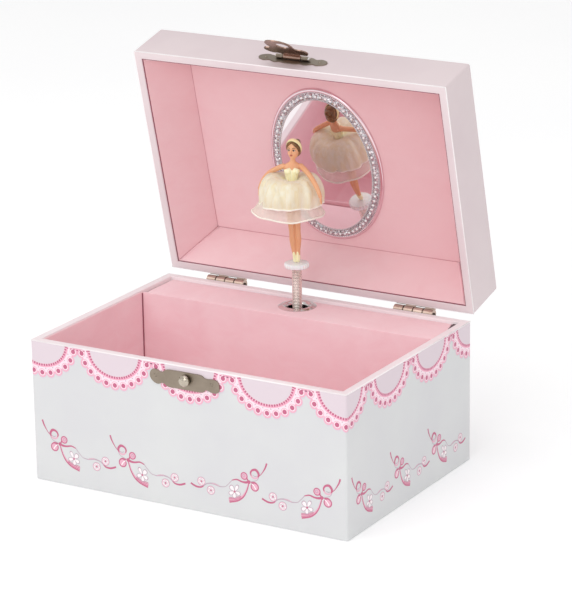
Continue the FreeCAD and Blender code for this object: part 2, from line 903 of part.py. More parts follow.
# winding key, arbor and ratchet
turned(
    "winding_arbor",
    [(0, 33.9), (1.4, 33.9), (1.4, 34.9), (2.0, 34.9), (2.0, 63.8), (1.6, 64.4), (1.6, 72.2), (1.2, 72.5), (0, 72.5)],
    FreeCAD.Placement(V(ax, 0, cz), TO_Y),
)
rt = []
for i in range(24):
    a = 2 * math.pi * i / 24
    rt.append(V(5.1 * math.cos(a), 5.1 * math.sin(a), 46.2))
    rt.append(V(6.1 * math.cos(a + 0.02), 6.1 * math.sin(a + 0.02), 46.2))
rw = Part.Face(Part.makePolygon(rt + [rt[0]])).extrude(V(0, 0, 1.4)).cut(Part.makeCylinder(2.02, 6, V(0, 0, 44)))
solid_feature("ratchet_wheel", rw, FreeCAD.Placement(V(ax, 0, cz), TO_Y))

b = body("winding_key")
s = sketch(
    b,
    "key_sleeve",
    "XZ_Plane",
    [[(0, 72.8), (1.66, 72.8), (1.66, 65.6), (2.6, 65.6), (3.0, 66.0), (3.0, 73.6), (2.4, 74.6), (0, 74.6)]],
)
p = revolve(b, s, "key_sleeve_turn")
s = sketch(
    b,
    "key_wings",
    "XZ_Plane",
    [
        [
            (-3.2, 73.0),
            (3.2, 73.0),
            (6.6, 71.4),
            (9.8, 71.6),
            (12.2, 73.8),
            (13.0, 77.2),
            (12.2, 80.6),
            (9.8, 82.8),
            (6.6, 83.0),
            (3.4, 81.0),
            (1.4, 79.4),
            (-1.4, 79.4),
            (-3.4, 81.0),
            (-6.6, 83.0),
            (-9.8, 82.8),
            (-12.2, 80.6),
            (-13.0, 77.2),
            (-12.2, 73.8),
            (-9.8, 71.6),
            (-6.6, 71.4),
        ]
    ],
    -0.8,
)
p = pad(b, s, 1.6, "key_wings_pad")
doc.recompute()
s = sketch(b, "key_eyes", "XZ_Plane", [("circle", 7.8, 77.2, 2.4), ("circle", -7.8, 77.2, 2.4)], -3)
pocket(b, s, 6, "key_eyes_cut", reverse=True)
done(b, "winding_key", FreeCAD.Placement(V(ax, 0, cz), TO_Y))

turned(
    "key_escutcheon",
    [(3.5, 0), (7.4, 0), (7.4, 0.3), (6.6, 0.75), (4.2, 0.9), (3.5, 0.6)],
    FreeCAD.Placement(V(ax, hd.v, cz), TO_Y),
)

# ---------------------------------------------------------------- cylinder, its arbor and wheels
b = body("cylinder_core")
s = sketch(
    b,
    "cylinder_ring",
    "XY_Plane",
    [("circle", 0, 0, cyl_r), ("circle", 0, 0, 1.04)],
    cyl_low,
)
p = pad(b, s, cyl_len, "cylinder_pad")
doc.recompute()
base_shape = b.Shape.copy()
rows = 18
pitch = 17.0 / rows
pins = []
for r_i in range(rows):
    z = cyl_low.v + 0.5 + pitch * (r_i + 0.5)
    for k_i in range(4):
        # a fixed, even scatter of tune pins, none opposite the comb at rest
        a = math.radians((37 * r_i * (k_i + 2) + 83 * k_i) % 320 + 200)
        c = Part.makeCylinder(0.16, 0.85, V((cyl_r.v - 0.35) * math.cos(a), (cyl_r.v - 0.35) * math.sin(a), z), V(math.cos(a), math.sin(a), 0))
        pins.append(c)
b.Label = "cylinder_core"
solid_feature("music_cylinder", base_shape.multiFuse(pins), CYL_AT)

arbor = Part.makeCylinder(1.0, 66.0 - 28.9, V(0, 0, 28.9))
pinion = spur(pinion_n.v, crown_mod.v, 31.5, 3.8, math.radians(15.0))
solid_feature("cylinder_arbor", arbor.fuse(pinion).removeSplitter(), CYL_AT)
solid_feature("great_wheel", spur(wheel_n.v, wheel_mod.v, 56.0, 1.2, 0.0, 1.02), CYL_AT)
turned(
    "spindle_post",
    [(1.03, 64.3), (2.45, 64.3), (2.45, 65.9), (1.7, 65.9), (1.7, 70.4), (1.4, 70.8), (0, 70.8), (0, 66.1), (1.03, 66.1)],
    CYL_AT,
)

# governor wheel and air-brake fan
ph_g = mesh_phase(wheel_n.v, 0.0, pin_n.v, ax, ay, gov_x, gov_y)
gw_ph = 0.0
gov = Part.makeCylinder(0.6, 21.4, V(0, 0, 41.3))
gov = gov.fuse(spur(pin_n.v, wheel_mod.v, 55.6, 2.0, ph_g)).fuse(spur(wheel_n.v, wheel_mod.v, 59.0, 1.0, gw_ph))
solid_feature("governor_wheel", gov.removeSplitter(), FreeCAD.Placement(V(gov_x, gov_y, 0), FreeCAD.Rotation()))
ph_f = mesh_phase(wheel_n.v, gw_ph, pin_n.v, gov_x, gov_y, fan_x, fan_y)
fan = Part.makeCylinder(0.6, 21.4, V(0, 0, 41.3))
fan = fan.fuse(spur(pin_n.v, wheel_mod.v, 58.6, 1.8, ph_f))
fan = fan.fuse(Part.makeCylinder(1.3, 10, V(0, 0, 44.2)))
fan = fan.fuse(Part.makeBox(9.6, 0.5, 9.0, V(-4.8, -0.25, 44.7)))
solid_feature("governor_fan", fan.removeSplitter(), FreeCAD.Placement(V(fan_x, fan_y, 0), FreeCAD.Rotation()))

# ---------------------------------------------------------------- movement: fixed frame
bp = box("bedplate_blank", -34, hd - board - 1.4, 6, 64, 1.4, 60)
hole = cyl("bedplate_bore", 2.1, 4, FreeCAD.Placement(V(ax, hd.v - board.v - 3, cz), TO_Y))
boss = box("comb_boss", -26.0, 50.0, 36.0, 8.6, 8.7, 20.0)
done(cut("bedplate", fuse("bedplate_cast", [bp, boss]), hole), "bedplate")

frame_parts = [
    box("frame_back", -8, 57.4, 26.5, 27, 1.2, 36.7),
    box("frame_top", -8, 40.6, 62.0, 27, 18.0, 1.2),
    box("frame_low", -6.4, 46.6, 28.5, 8, 12.0, 1.2),
    box("frame_mid", 5.0, 40.6, 41.0, 14, 18.0, 1.2),
]
fr0 = fuse("frame_blank", frame_parts)
bores = [
    cyl("bore_low", 1.07, 3, pl(ax, ay, 27.5)),
    cyl("bore_top", 1.07, 3, pl(ax, ay, 61.2)),
    cyl("bore_gov_low", 0.67, 3, pl(gov_x, gov_y, 40.2)),
    cyl("bore_gov_top", 0.67, 3, pl(gov_x, gov_y, 61.2)),
    cyl("bore_fan_low", 0.67, 3, pl(fan_x, fan_y, 40.2)),
    cyl("bore_fan_top", 0.67, 3, pl(fan_x, fan_y, 61.2)),
]
done(cut("train_frame", fr0, fuse("frame_bores", bores)), "train_frame")

bridge = fuse(
    "bridge_blank",
    [
        box("bridge_bar", -24.4, 33.7, 15.5, 44, 1.0, 9),
        cyl("bridge_pillar_left", 2.0, 24.4, FreeCAD.Placement(V(ax - 19.0, 34.2, cz), TO_Y)),
        cyl("bridge_pillar_right", 2.0, 24.4, FreeCAD.Placement(V(ax + 19.0, 34.2, cz), TO_Y)),
    ],
)
done(cut("barrel_bridge", bridge, cyl("bridge_bore", 1.46, 4, FreeCAD.Placement(V(ax, 32.5, cz), TO_Y))), "barrel_bridge")

click_parts = [
    cyl("click_post", 1.2, 12.4, FreeCAD.Placement(V(ax + 11.6, 46.2, cz + 3.6), TO_Y)),
]
cp = Part.makePolygon([V(ax + 11.6, 0, cz + 4.2), V(ax + 8.4, 0, cz + 6.8), V(ax + 5.3, 0, cz + 5.3), V(ax + 4.75, 0, cz + 4.55), V(ax + 4.95, 0, cz + 4.35), V(ax + 5.7, 0, cz + 4.95), V(ax + 8.4, 0, cz + 6.2), V(ax + 11.3, 0, cz + 3.6), V(ax + 11.6, 0, cz + 4.2)])
leaf = Part.Face(cp).extrude(V(0, 1.4, 0))
leaf.translate(V(0, 46.2, 0))
lf = doc.addObject("Part::Feature", "click_leaf")
lf.Shape = leaf
done(fuse("ratchet_click", click_parts + [lf]), "ratchet_click")

# comb: 18 tuned teeth on a block
comb_plate = Part.makeBox(10.5, 1.2, 20.0, V(-26.0, 48.8, 36.0))
tlist = []
tip_x = ax - cyl_r.v - 0.75
for i in range(rows):
    z = cyl_low.v + 0.5 + pitch * (i + 0.5)
    slit_root = -15.5 - 0.28 * (rows - i) * 0.35
    tlist.append(Part.makeBox(tip_x + 15.6, 0.7, 0.62, V(-15.6, 49.05, z - 0.31)))
comb = comb_plate.multiFuse(tlist)
for hz_ in (40.5, 51.5):
    comb = comb.cut(Part.makeCylinder(1.05, 4, V(-21.5, 47.5, hz_), V(0, 1, 0)))
solid_feature("comb", comb.removeSplitter())
nails(
    "movement_screws",
    [
        (-21.5, 48.8, 40.5),
        (-21.5, 48.8, 51.5),
        (-31, 58.6, 10),
        (27, 58.6, 10),
        (-31, 58.6, 62),
        (27, 58.6, 62),
    ],
    TO_FRONT,
    None,
    1.9,
    1.0,
    4.4,
    0.9,
)

# ---------------------------------------------------------------- dancer's spring
coils = 35
wire = (num(disc_z) - 0.05 - num(spring_low)) / coils
ro, ri = num(spring_od) / 2, num(spring_id) / 2
prof = [V(ri, 0, num(spring_low))]
edges = [Part.makeLine(V(ri, 0, num(spring_low)), V(ro - wire / 2, 0, num(spring_low)))]
for i in range(coils):
    z0 = num(spring_low) + wire * i
    edges.append(
        Part.Arc(V(ro - wire / 2, 0, z0), V(ro, 0, z0 + wire / 2), V(ro - wire / 2, 0, z0 + wire)).toShape()
    )
top = num(spring_low) + wire * coils
edges.append(Part.makeLine(V(ro - wire / 2, 0, top), V(ri, 0, top)))
edges.append(Part.makeLine(V(ri, 0, top), V(ri, 0, num(spring_low))))
spring = Part.Face(Part.Wire(edges)).revolve(V(0, 0, 0), V(0, 0, 1), 360)
solid_feature("dancer_spring", spring, CYL_AT)

# ---------------------------------------------------------------- dancer
turned(
    "spring_plug",
    [(0, 86.0), (1.4, 86.0), (1.7, 86.4), (1.7, disc_z - 0.02), (0, disc_z - 0.02)],
    CYL_AT,
)
turned(
    "dancer_disc",
    [
        (0, disc_z),
        (disc_r - 0.9, disc_z),
        (disc_r - 0.25, disc_z + 0.25),
        (disc_r, disc_z + 0.8),
        (disc_r, disc_z + disc_tk - 0.6),
        (disc_r - 0.2, disc_z + disc_tk - 0.2),
        (disc_r - 0.7, disc_z + disc_tk),
        (0, disc_z + disc_tk),
    ],
    CYL_AT,
)
foot = (disc_z + disc_tk).v
turned(
    "dancer_legs",
    [
        (0, foot),
        (0.9, foot),
        (1.3, foot + 2.2),
        (1.4, foot + 5.0),
        (2.2, foot + 11.0),
        (2.1, foot + 17.0),
        (2.9, foot + 25.5),
        (3.6, foot + 34.3),
        (0, foot + 34.3),
    ],
    CYL_AT,
)
hip = foot + 34.3
torso_profile = [
    (0, hip),
    (3.6, hip),
    (3.9, hip + 2.6),
    (2.7, hip + 7.6),
    (2.5, hip + 9.4),
    (3.7, hip + 14.2),
    (3.4, hip + 17.0),
    (1.3, hip + 18.6),
    (1.2, hip + 21.0),
    (0, hip + 21.0),
]
torso = turned("dancer_torso", torso_profile, CYL_AT)
neck = hip + 21.0
turned(
    "dancer_head",
    [
        (0, neck),
        (1.2, neck),
        (2.5, neck + 0.7),
        (3.4, neck + 2.2),
        (3.9, neck + 4.2),
        (3.8, neck + 6.0),
        (2.9, neck + 7.7),
        (1.5, neck + 8.5),
        (0, neck + 8.7),
    ],
    CYL_AT,
)
doc.recompute()


def tube(points, r):
    sh = None
    for a, c in zip(points, points[1:]):
        d = V(*c) - V(*a)
        piece = Part.makeCylinder(r, d.Length, V(*a), d)
        ball = Part.makeSphere(r, V(*c))
        piece = piece.fuse(ball)
        sh = piece if sh is None else sh.fuse(piece)
    return sh.fuse(Part.makeSphere(r, V(*points[0])))


tz = hip + 15.8
turn_c, turn_s = 0.8617, 0.5075
arms = []
for pts in (
    [(-3.6, 0.0, tz), (-11.0, -2.6, tz - 2.2), (-15.9, -3.4, tz - 5.4), (-18.3, -3.0, tz - 10.8), (-19.0, -2.2, tz - 15.8)],
    [(3.6, 0.6, tz), (7.8, 8.2, tz - 2.6), (11.2, 12.6, tz - 8.6), (12.2, 13.3, tz - 10.8), (12.9, 13.2, tz - 15.0)],
):
    pts = [(a * turn_c + f * turn_s, a * turn_s - f * turn_c, z) for a, f, z in pts]
    arms.append(tube(pts, 0.95).cut(torso.Shape.copy().translated(V(-ax, -ay, 0))))
solid_feature("dancer_arms", Part.makeCompound(arms), CYL_AT)

head_copy = doc.getObject("dancer_head").Shape.copy().translated(V(-ax, -ay, 0))
bun = Part.makeSphere(2.3, V(1.2, 1.8, neck + 8.2)).cut(head_copy)
solid_feature("dancer_hair", bun, CYL_AT)

w = hip + 11.0
b = body("dancer_skirt")
s = sketch(
    b,
    "skirt_profile",
    "XZ_Plane",
    [
        [
            (3.25, w),
            (7.0, w + 0.5),
            (11.0, w + 0.1),
            (14.0, w - 2.2),
            (16.0, w - 6.5),
            (16.6, w - 11.0),
            (17.5, w - 16.0),
            (18.4, w - 19.6),
            (17.7, w - 19.6),
            (16.8, w - 15.8),
            (15.9, w - 11.1),
            (15.2, w - 6.8),
            (13.4, w - 3.0),
            (10.6, w - 0.8),
            (7.0, w - 0.4),
            (3.25, w - 1.2),
        ]
    ],
)
revolve(b, s, "skirt_turn")
done(b, "dancer_skirt", CYL_AT)

# ---------------------------------------------------------------- checks and files
doc.recompute()
bad = []
for o in doc.Objects:
    st = [x for x in o.State if x in ("Invalid", "Error")]
    if st:
        bad.append("%s %s" % (o.Name, st))
for label, o in SUBPARTS:
    sh = o.Shape
    if sh.isNull() or not sh.isValid() or sh.Volume <= 0:
        bad.append("%s: bad shape" % label)
if len({n for n, _ in SUBPARTS}) != len(SUBPARTS):
    bad.append("a label is used twice")
if bad:
    raise RuntimeError("; ".join(bad))

os.makedirs("parts", exist_ok=True)
for label, o in SUBPARTS:
    o.Shape.exportStep("parts/%s.step" % label)
    bb = o.Shape.BoundBox
    print("%-24s %9.2f mm3  x %.2f %.2f  y %.2f %.2f  z %.2f %.2f" % (label, o.Shape.Volume, bb.XMin, bb.XMax, bb.YMin, bb.YMax, bb.ZMin, bb.ZMax))
print("sub-parts:", len(SUBPARTS))
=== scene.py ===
import math
import random

import bmesh
import bpy
import numpy as np
from mathutils import Matrix, Vector


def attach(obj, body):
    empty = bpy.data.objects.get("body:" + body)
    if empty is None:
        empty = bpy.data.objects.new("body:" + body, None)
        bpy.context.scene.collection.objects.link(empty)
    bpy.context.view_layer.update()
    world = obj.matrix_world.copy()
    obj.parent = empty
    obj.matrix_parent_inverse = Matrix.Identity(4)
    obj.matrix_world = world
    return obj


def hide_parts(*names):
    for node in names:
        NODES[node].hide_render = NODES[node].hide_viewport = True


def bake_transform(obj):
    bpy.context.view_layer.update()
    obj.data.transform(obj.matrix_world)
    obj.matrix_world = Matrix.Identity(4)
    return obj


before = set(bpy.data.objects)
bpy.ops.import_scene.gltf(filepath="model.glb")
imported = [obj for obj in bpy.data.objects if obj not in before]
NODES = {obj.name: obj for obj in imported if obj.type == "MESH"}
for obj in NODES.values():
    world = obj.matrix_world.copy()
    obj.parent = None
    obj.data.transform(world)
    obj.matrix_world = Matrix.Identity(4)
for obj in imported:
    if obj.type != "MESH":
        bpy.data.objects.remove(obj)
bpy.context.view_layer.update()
MM = 0.001
rng = random.Random(7)

# ------------------------------------------------------------------ sizes, mm
HW, HD, BZ = 90.5, 64.2, 74.2
RIM, LTOP, WT = 74.5, 101.5, 4.2
HY, HZ, OPEN = 67.24, 73.24, math.radians(76.0)
HINGE_L, HINGE_R = -56.1, 56.55
CO, SO = math.cos(OPEN), math.sin(OPEN)
AX, AY, DECK = -2.4, 49.4, 72.7


def lid_pt(p):
    """A point given with the lid closed, moved to where it is with the lid open."""
    yy, zz = p[1] - HY, p[2] - HZ
    return (p[0], HY + yy * CO + zz * SO, HZ - yy * SO + zz * CO)


def plain(p):
    return p


# ------------------------------------------------------------------ camera
def camera():
    cam = bpy.data.cameras.new("cam")
    cam.lens = 180.34
    cam.sensor_width = 36.0
    cam.sensor_fit = "AUTO"
    cam.clip_start = 0.05
    o = bpy.data.objects.new("cam", cam)
    bpy.context.scene.collection.objects.link(o)
    az, el, roll = math.radians(30.740), math.radians(17.354), math.radians(-0.9465)
    back = Vector((math.sin(az) * math.cos(el), -math.cos(az) * math.cos(el), math.sin(el)))
    right = Vector((math.cos(az), math.sin(az), 0.0))
    up = back.cross(right)
    r2 = math.cos(roll) * right + math.sin(roll) * up
    u2 = -math.sin(roll) * right + math.cos(roll) * up
    m = Matrix((r2, u2, back)).transposed().to_4x4()
    m.translation = Vector((0.746674, -1.221482, 0.537626))
    o.matrix_world = m
    bpy.context.scene.camera = o


camera()


# ------------------------------------------------------------------ node helpers
class Mat:
    """A node material, built from short calls."""

    def __init__(self, name):
        self.m = bpy.data.materials.new(name)
        self.m.use_nodes = True
        self.t = self.m.node_tree
        self.t.nodes.clear()
        self.out = self.n("ShaderNodeOutputMaterial")
        self.b = self.n("ShaderNodeBsdfPrincipled")
        self.l(self.b.outputs[0], self.out.inputs[0])

    def n(self, kind, **kw):
        x = self.t.nodes.new(kind)
        for k, v in kw.items():
            setattr(x, k, v)
        return x

    def l(self, a, b):
        self.t.links.new(a, b)

    def set(self, **kw):
        for k, v in kw.items():
            self.b.inputs[k.replace("_", " ")].default_value = v
        return self

    def coords(self, scale=(1, 1, 1)):
        tc = self.n("ShaderNodeTexCoord")
        mp = self.n("ShaderNodeMapping")
        mp.inputs["Scale"].default_value = scale
        self.l(tc.outputs["Object"], mp.inputs[0])
        return mp.outputs[0]

    def noise(self, scale, detail=4.0, rough=0.55, co=None, dist=0.0):
        x = self.n("ShaderNodeTexNoise")
        x.inputs["Scale"].default_value = scale
        x.inputs["Detail"].default_value = detail
        x.inputs["Roughness"].default_value = rough
        x.inputs["Distortion"].default_value = dist
        self.l(co if co is not None else self.coords(), x.inputs["Vector"])
        return x.outputs["Fac"]

    def ramp(self, fac, stops):
        x = self.n("ShaderNodeValToRGB")
        el = x.color_ramp.elements
        while len(el) < len(stops):
            el.new(0.5)
        for e, (p, c) in zip(el, stops):
            e.position = p
            e.color = c if len(c) == 4 else (*c, 1)
        self.l(fac, x.inputs[0])
        return x.outputs[0]

    def map(self, fac, a, b, lo=0.0, hi=1.0):
        x = self.n("ShaderNodeMapRange")
        x.inputs["From Min"].default_value = lo
        x.inputs["From Max"].default_value = hi
        x.inputs["To Min"].default_value = a
        x.inputs["To Max"].default_value = b
        self.l(fac, x.inputs["Value"])
        return x.outputs[0]

    def math(self, op, a, b=None):
        x = self.n("ShaderNodeMath", operation=op)
        for i, v in enumerate((a, b)):
            if v is None:
                continue
            if isinstance(v, (int, float)):
                x.inputs[i].default_value = v
            else:
                self.l(v, x.inputs[i])
        return x.outputs[0]

    def mix(self, fac, a, b):
        x = self.n("ShaderNodeMix", data_type="RGBA")
        if isinstance(fac, (int, float)):
            x.inputs["Factor"].default_value = fac
        else:
            self.l(fac, x.inputs["Factor"])
        for i, v in ((6, a), (7, b)):
            if isinstance(v, tuple):
                x.inputs[i].default_value = v if len(v) == 4 else (*v, 1)
            else:
                self.l(v, x.inputs[i])
        return x.outputs[2]

    def color(self, v):
        self.l(v, self.b.inputs["Base Color"])
        return self

    def rough(self, v):
        self.l(v, self.b.inputs["Roughness"])
        return self

    def bump(self, height, dist, strength=1.0):
        x = self.n("ShaderNodeBump")
        x.inputs["Strength"].default_value = strength
        x.inputs["Distance"].default_value = dist
        self.l(height, x.inputs["Height"])
        self.l(x.outputs[0], self.b.inputs["Normal"])
        return self


def srgb(h):
    h = h.lstrip("#")
    c = [int(h[i : i + 2], 16) / 255 for i in (0, 2, 4)]
    return tuple(((x + 0.055) / 1.055) ** 2.4 if x > 0.04045 else x / 12.92 for x in c)


def paper(name, col, tint, gloss=0.42):
    """Coated wrapping paper: slight mottling, faint fibres, satin finish."""
    m = Mat(name)
    big = m.noise(22.0, 3.0)
    fine = m.noise(1400.0, 5.0, 0.7)
    fibre = m.noise(520.0, 4.0, 0.6, m.coords((1.0, 1.0, 3.2)), 0.8)
    m.color(m.mix(m.map(big, 0.0, 1.0, 0.35, 0.65), srgb(col), srgb(tint)))
    m.rough(m.map(fine, gloss - 0.05, gloss + 0.12))
    m.bump(m.math("ADD", fine, m.math("MULTIPLY", fibre, 0.8)), 0.00003, 0.55)
    m.set(IOR=1.46)
    return m.m


def velour(name, col, dark, light, painted_shade_gradient=False):
    """Flocked lining: short pile, soft sheen, brushed patches."""
    m = Mat(name)
    pile = m.noise(2600.0, 3.0, 0.7)
    brush = m.noise(55.0, 5.0, 0.65, m.coords((1.0, 1.0, 1.6)), 0.6)
    patch = m.noise(14.0, 2.0)
    base = m.mix(m.map(brush, 0.0, 1.0, 0.3, 0.7), srgb(dark), srgb(light))
    base = m.mix(m.map(patch, 0.35, 0.75, 0.3, 0.7), base, srgb(col))
    if painted_shade_gradient:
        # painted shade: the colour darkens towards the top and the right of the open lid, a lighting gradient painted
        # into the velour
        xyz = m.n("ShaderNodeSeparateXYZ")
        m.l(m.coords((1, 1, 1)), xyz.inputs[0])
        f = m.math("ADD", m.map(xyz.outputs[2], 0.0, 0.6, 0.085, 0.19), m.map(xyz.outputs[0], 0.0, 0.4, -0.085, 0.06))
        base = m.mix(m.math("MULTIPLY", f, 0.75), base, srgb("#DDA9AD"))
    m.color(m.mix(m.map(pile, 0.0, 0.16, 0.35, 0.65), base, srgb(dark)))
    m.set(Roughness=0.95, Sheen_Weight=0.25, Sheen_Roughness=0.45)
    m.b.inputs["Sheen Tint"].default_value = (1.0, 0.85, 0.88, 1)
    m.bump(m.math("ADD", pile, m.math("MULTIPLY", brush, 0.5)), 0.00012, 0.6)
    return m.m


def metal(name, col, dark, rough, scale=900.0, stretch=(1, 1, 1), bump=0.00003, wear=0.5):
    m = Mat(name)
    s = m.noise(scale, 5.0, 0.7, m.coords(stretch), 0.3)
    w = m.noise(90.0, 4.0, 0.6)
    m.color(m.mix(m.map(w, 0.0, wear, 0.35, 0.7), srgb(col), srgb(dark)))
    m.rough(m.map(s, rough - 0.06, rough + 0.14))
    m.set(Metallic=1.0)
    m.bump(s, bump, 0.5)
    return m.m


def plastic(name, col, dark, rough=0.28, sss=0.0, bump=0.00002, scale=400.0):
    m = Mat(name)
    s = m.noise(scale, 3.0)
    b = m.noise(120.0, 4.0)
    m.color(m.mix(m.map(b, 0.0, 0.5, 0.35, 0.7), srgb(col), srgb(dark)))
    m.rough(m.map(s, rough - 0.05, rough + 0.1))
    if sss:
        m.b.inputs["Subsurface Weight"].default_value = sss
        m.b.inputs["Subsurface Radius"].default_value = (0.002, 0.001, 0.0006)
        m.b.inputs["Subsurface Scale"].default_value = 1.0
    m.bump(s, bump, 0.4)
    return m.m


def ink(name, col, dark, gloss=0.4):
    """Printed ink: a faint halftone and the paper's own tooth under it."""
    m = Mat(name)
    dots = m.n("ShaderNodeTexVoronoi")
    dots.inputs["Scale"].default_value = 4200.0
    m.l(m.coords(), dots.inputs["Vector"])
    fine = m.noise(1400.0, 5.0, 0.7)
    m.color(m.mix(m.map(dots.outputs["Distance"], 0.0, 0.5, 0.0, 0.6), srgb(col), srgb(dark)))
    m.rough(m.map(fine, gloss - 0.05, gloss + 0.12))
    m.bump(fine, 0.00003, 0.5)
    return m.m


M_PAPER = paper("paper_white", "#DADBDB", "#D6D6D8")
M_LIDPAPER = paper("paper_lid", "#DDCED0", "#D8C8CB")
M_RIMPAPER = paper("paper_rim", "#E6D8DA", "#E0D0D3")
# painted highlight: a paler paper for the cords along the rims' outer edges
M_PAINTED_EDGE_HIGHLIGHT = paper("paper_painted_edge_highlight", "#FFFBFB", "#FBF3F4")
M_BASERIM = paper("paper_rim_base", "#F7ECEE", "#F2E4E7")
M_VELOUR = velour("velour_pink", "#FAD6DB", "#F5C9D0", "#FCDFE3")
# the lid's lining carries painted shade: its colour darkens towards the open lid's top and right
M_LIDVEL_PAINTED_SHADE = velour("velour_lid_painted_shade", "#F8D5D9", "#F3C8CD", "#FADFE1", painted_shade_gradient=True)
# the next three velours are painted shade: darker copies of the lining, used for cords and a wedge put into creases,
# gaps and recesses
M_PAINTED_CREASE_SHADE = velour("velour_painted_crease_shade", "#D9A3AA", "#CC929B", "#E0AEB4")
M_PAINTED_GAP_SHADE = velour("velour_painted_gap_shade", "#9A5866", "#874A58", "#A46270")
M_PAINTED_DEEP_SHADE = velour("velour_painted_deep_shade", "#4C2E33", "#3C2328", "#57373C")
M_KNOB = metal("knob_nickel", "#CDC3B4", "#9A8E80", 0.12, 300.0, (1, 1, 1), 0.00001)
M_HASP = metal("nickel_hasp", "#B49688", "#6B5145", 0.2, 500.0, (1, 1, 1), 0.00003)
M_NICKEL = metal("nickel_satin", "#9C9082", "#776B5E", 0.36, 700.0, (1, 1, 1), 0.00005)
M_HINGE = metal("nickel_hinge", "#CDB6A9", "#957B6E", 0.30, 800.0, (0.3, 1, 1), 0.00005)
M_BRIGHT = metal("nickel_bright", "#E4E0DE", "#C9C2BF", 0.10, 300.0, (1, 1, 1), 0.00001)
M_BRASS = metal("brass_satin", "#D8BE84", "#A88A52", 0.22, 700.0)
# dark pin metal, also used as painted shade in the hinges' knuckle gaps
M_PIN_AND_GAP_SHADE = metal("pin_dark_and_gap_shade", "#5E4F49", "#3E332F", 0.35, 700.0)
M_STEEL = metal("steel_satin", "#B4B2B0", "#8A8886", 0.3, 700.0)
M_SPRING = metal("spring_steel", "#F3EAE3", "#D3C5BB", 0.17, 900.0, (1, 1, 1), 0.000004)
M_WHITEPL = plastic("disc_plastic", "#F9FFFF", "#F1F8FA", 0.22, 0.15)


# ------------------------------------------------------------------ mesh helpers
def new_obj(name, verts, faces, mats, body, smooth=False, fmat=None, move=plain, ride=True):
    """verts in mm in the closed or rest frame; move puts them where they are at rest."""
    me = bpy.data.meshes.new(name)
    me.from_pydata([tuple(c * MM for c in move(v)) for v in verts], [], [tuple(f) for f in faces])
    for m in mats if isinstance(mats, (list, tuple)) else [mats]:
        me.materials.append(m)
    if fmat is not None:
        me.polygons.foreach_set("material_index", fmat)
    if smooth:
        me.polygons.foreach_set("use_smooth", [True] * len(me.polygons))
    me.update()
    o = bpy.data.objects.new(name, me)
    bpy.context.scene.collection.objects.link(o)
    if ride:
        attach(o, body)
    return o


def fix_normals(o):
    bm = bmesh.new()
    bm.from_mesh(o.data)
    bmesh.ops.recalc_face_normals(bm, faces=bm.faces)
    bm.to_mesh(o.data)
    bm.free()
    o.data.update()


def modify(o, kind, **kw):
    md = o.modifiers.new(kind.lower(), kind)
    for k, v in kw.items():
        setattr(md, k, v)
    return md


def apply_mods(o):
    bpy.context.view_layer.update()
    dg = bpy.context.evaluated_depsgraph_get()
    me = bpy.data.meshes.new_from_object(o.evaluated_get(dg), preserve_all_data_layers=True, depsgraph=dg)
    old = o.data
    o.modifiers.clear()
    o.data = me
    if old.users == 0:
        bpy.data.meshes.remove(old)
    return o


def smooth_by_angle(o, deg=35.0):
    bm = bmesh.new()
    bm.from_mesh(o.data)
    lim = math.radians(deg)
    for f in bm.faces:
        f.smooth = True
    for e in bm.edges:
        e.smooth = len(e.link_faces) == 2 and e.calc_face_angle(0.0) < lim
    bm.to_mesh(o.data)
    bm.free()
    o.data.update()


def rrect(hx, hy, r, n=7, cx=0.0, cy=0.0):
    """A rounded rectangle, counter-clockwise, n points a corner."""
    pts = []
    for qx, qy, a0 in ((1, -1, -90), (1, 1, 0), (-1, 1, 90), (-1, -1, 180)):
        for i in range(n):
            a = math.radians(a0 + 90.0 * i / (n - 1))
            pts.append((cx + qx * (hx - r) + r * math.cos(a), cy + qy * (hy - r) + r * math.sin(a)))
    return pts


def loft(rings, closed_profile):
    """Quads between rings of equal length; the profile may close on itself."""
    verts = [p for rg in rings for p in rg]
    n = len(rings[0])
    faces = []
    k = len(rings)
    for i in range(k if closed_profile else k - 1):
        a, b = i * n, ((i + 1) % k) * n
        for j in range(n):
            j2 = (j + 1) % n
            faces.append((a + j, a + j2, b + j2, b + j))
    return verts, faces


def wall_shell(name, z0, z1, rim_is_top, body, mats, move, rim_r=0.55):
    """Four papered walls in one wrap: rounded corners, soft rim edges."""
    prof = []
    e = rim_r
    top, bot = (z1, z0)

    def arc(cx, cz, a0, a1, r, n=4):
        for i in range(n + 1):
            a = math.radians(a0 + (a1 - a0) * i / n)
            prof.append((cx + r * math.cos(a), cz + r * math.sin(a)))

    # d is the distance in from the outer face
    if rim_is_top:
        prof.append((3.0, bot + 0.02))
        arc(0.35, bot + 0.35, 270, 180, 0.33, 2)
        arc(e, top - e, 180, 90, e)
        arc(WT - 0.4, top - 0.4, 90, 0, 0.4, 3)
        prof.append((WT, bot + 2.98))
        prof.append((3.0, bot + 2.98))
    else:
        prof.append((3.0, top - 3.0))
        prof.append((WT, top - 3.02))
        arc(WT - 0.4, bot + 0.4, 0, -90, 0.4, 3)
        arc(e, bot + e, 270, 180, e)
        arc(1.0, top - 1.0, 180, 90, 1.0, 4)
        prof.append((3.0, top))
    rings = []
    for d, z in prof:
        r = max(0.12, 1.25 - d) if d < 1.2 else 0.12
        rings.append([(x, y, z) for x, y in rrect(HW - d, HD - d, r)])
    v, f = loft(rings, True)
    o = new_obj(name, v, f, mats, body, move=move)
    fix_normals(o)
    smooth_by_angle(o, 40)
    return o, prof


# ------------------------------------------------------------------ boards
base_shell, prof = wall_shell("base_paper_walls", 0.0, BZ, True, "base", [M_PAPER, M_BASERIM], plain)
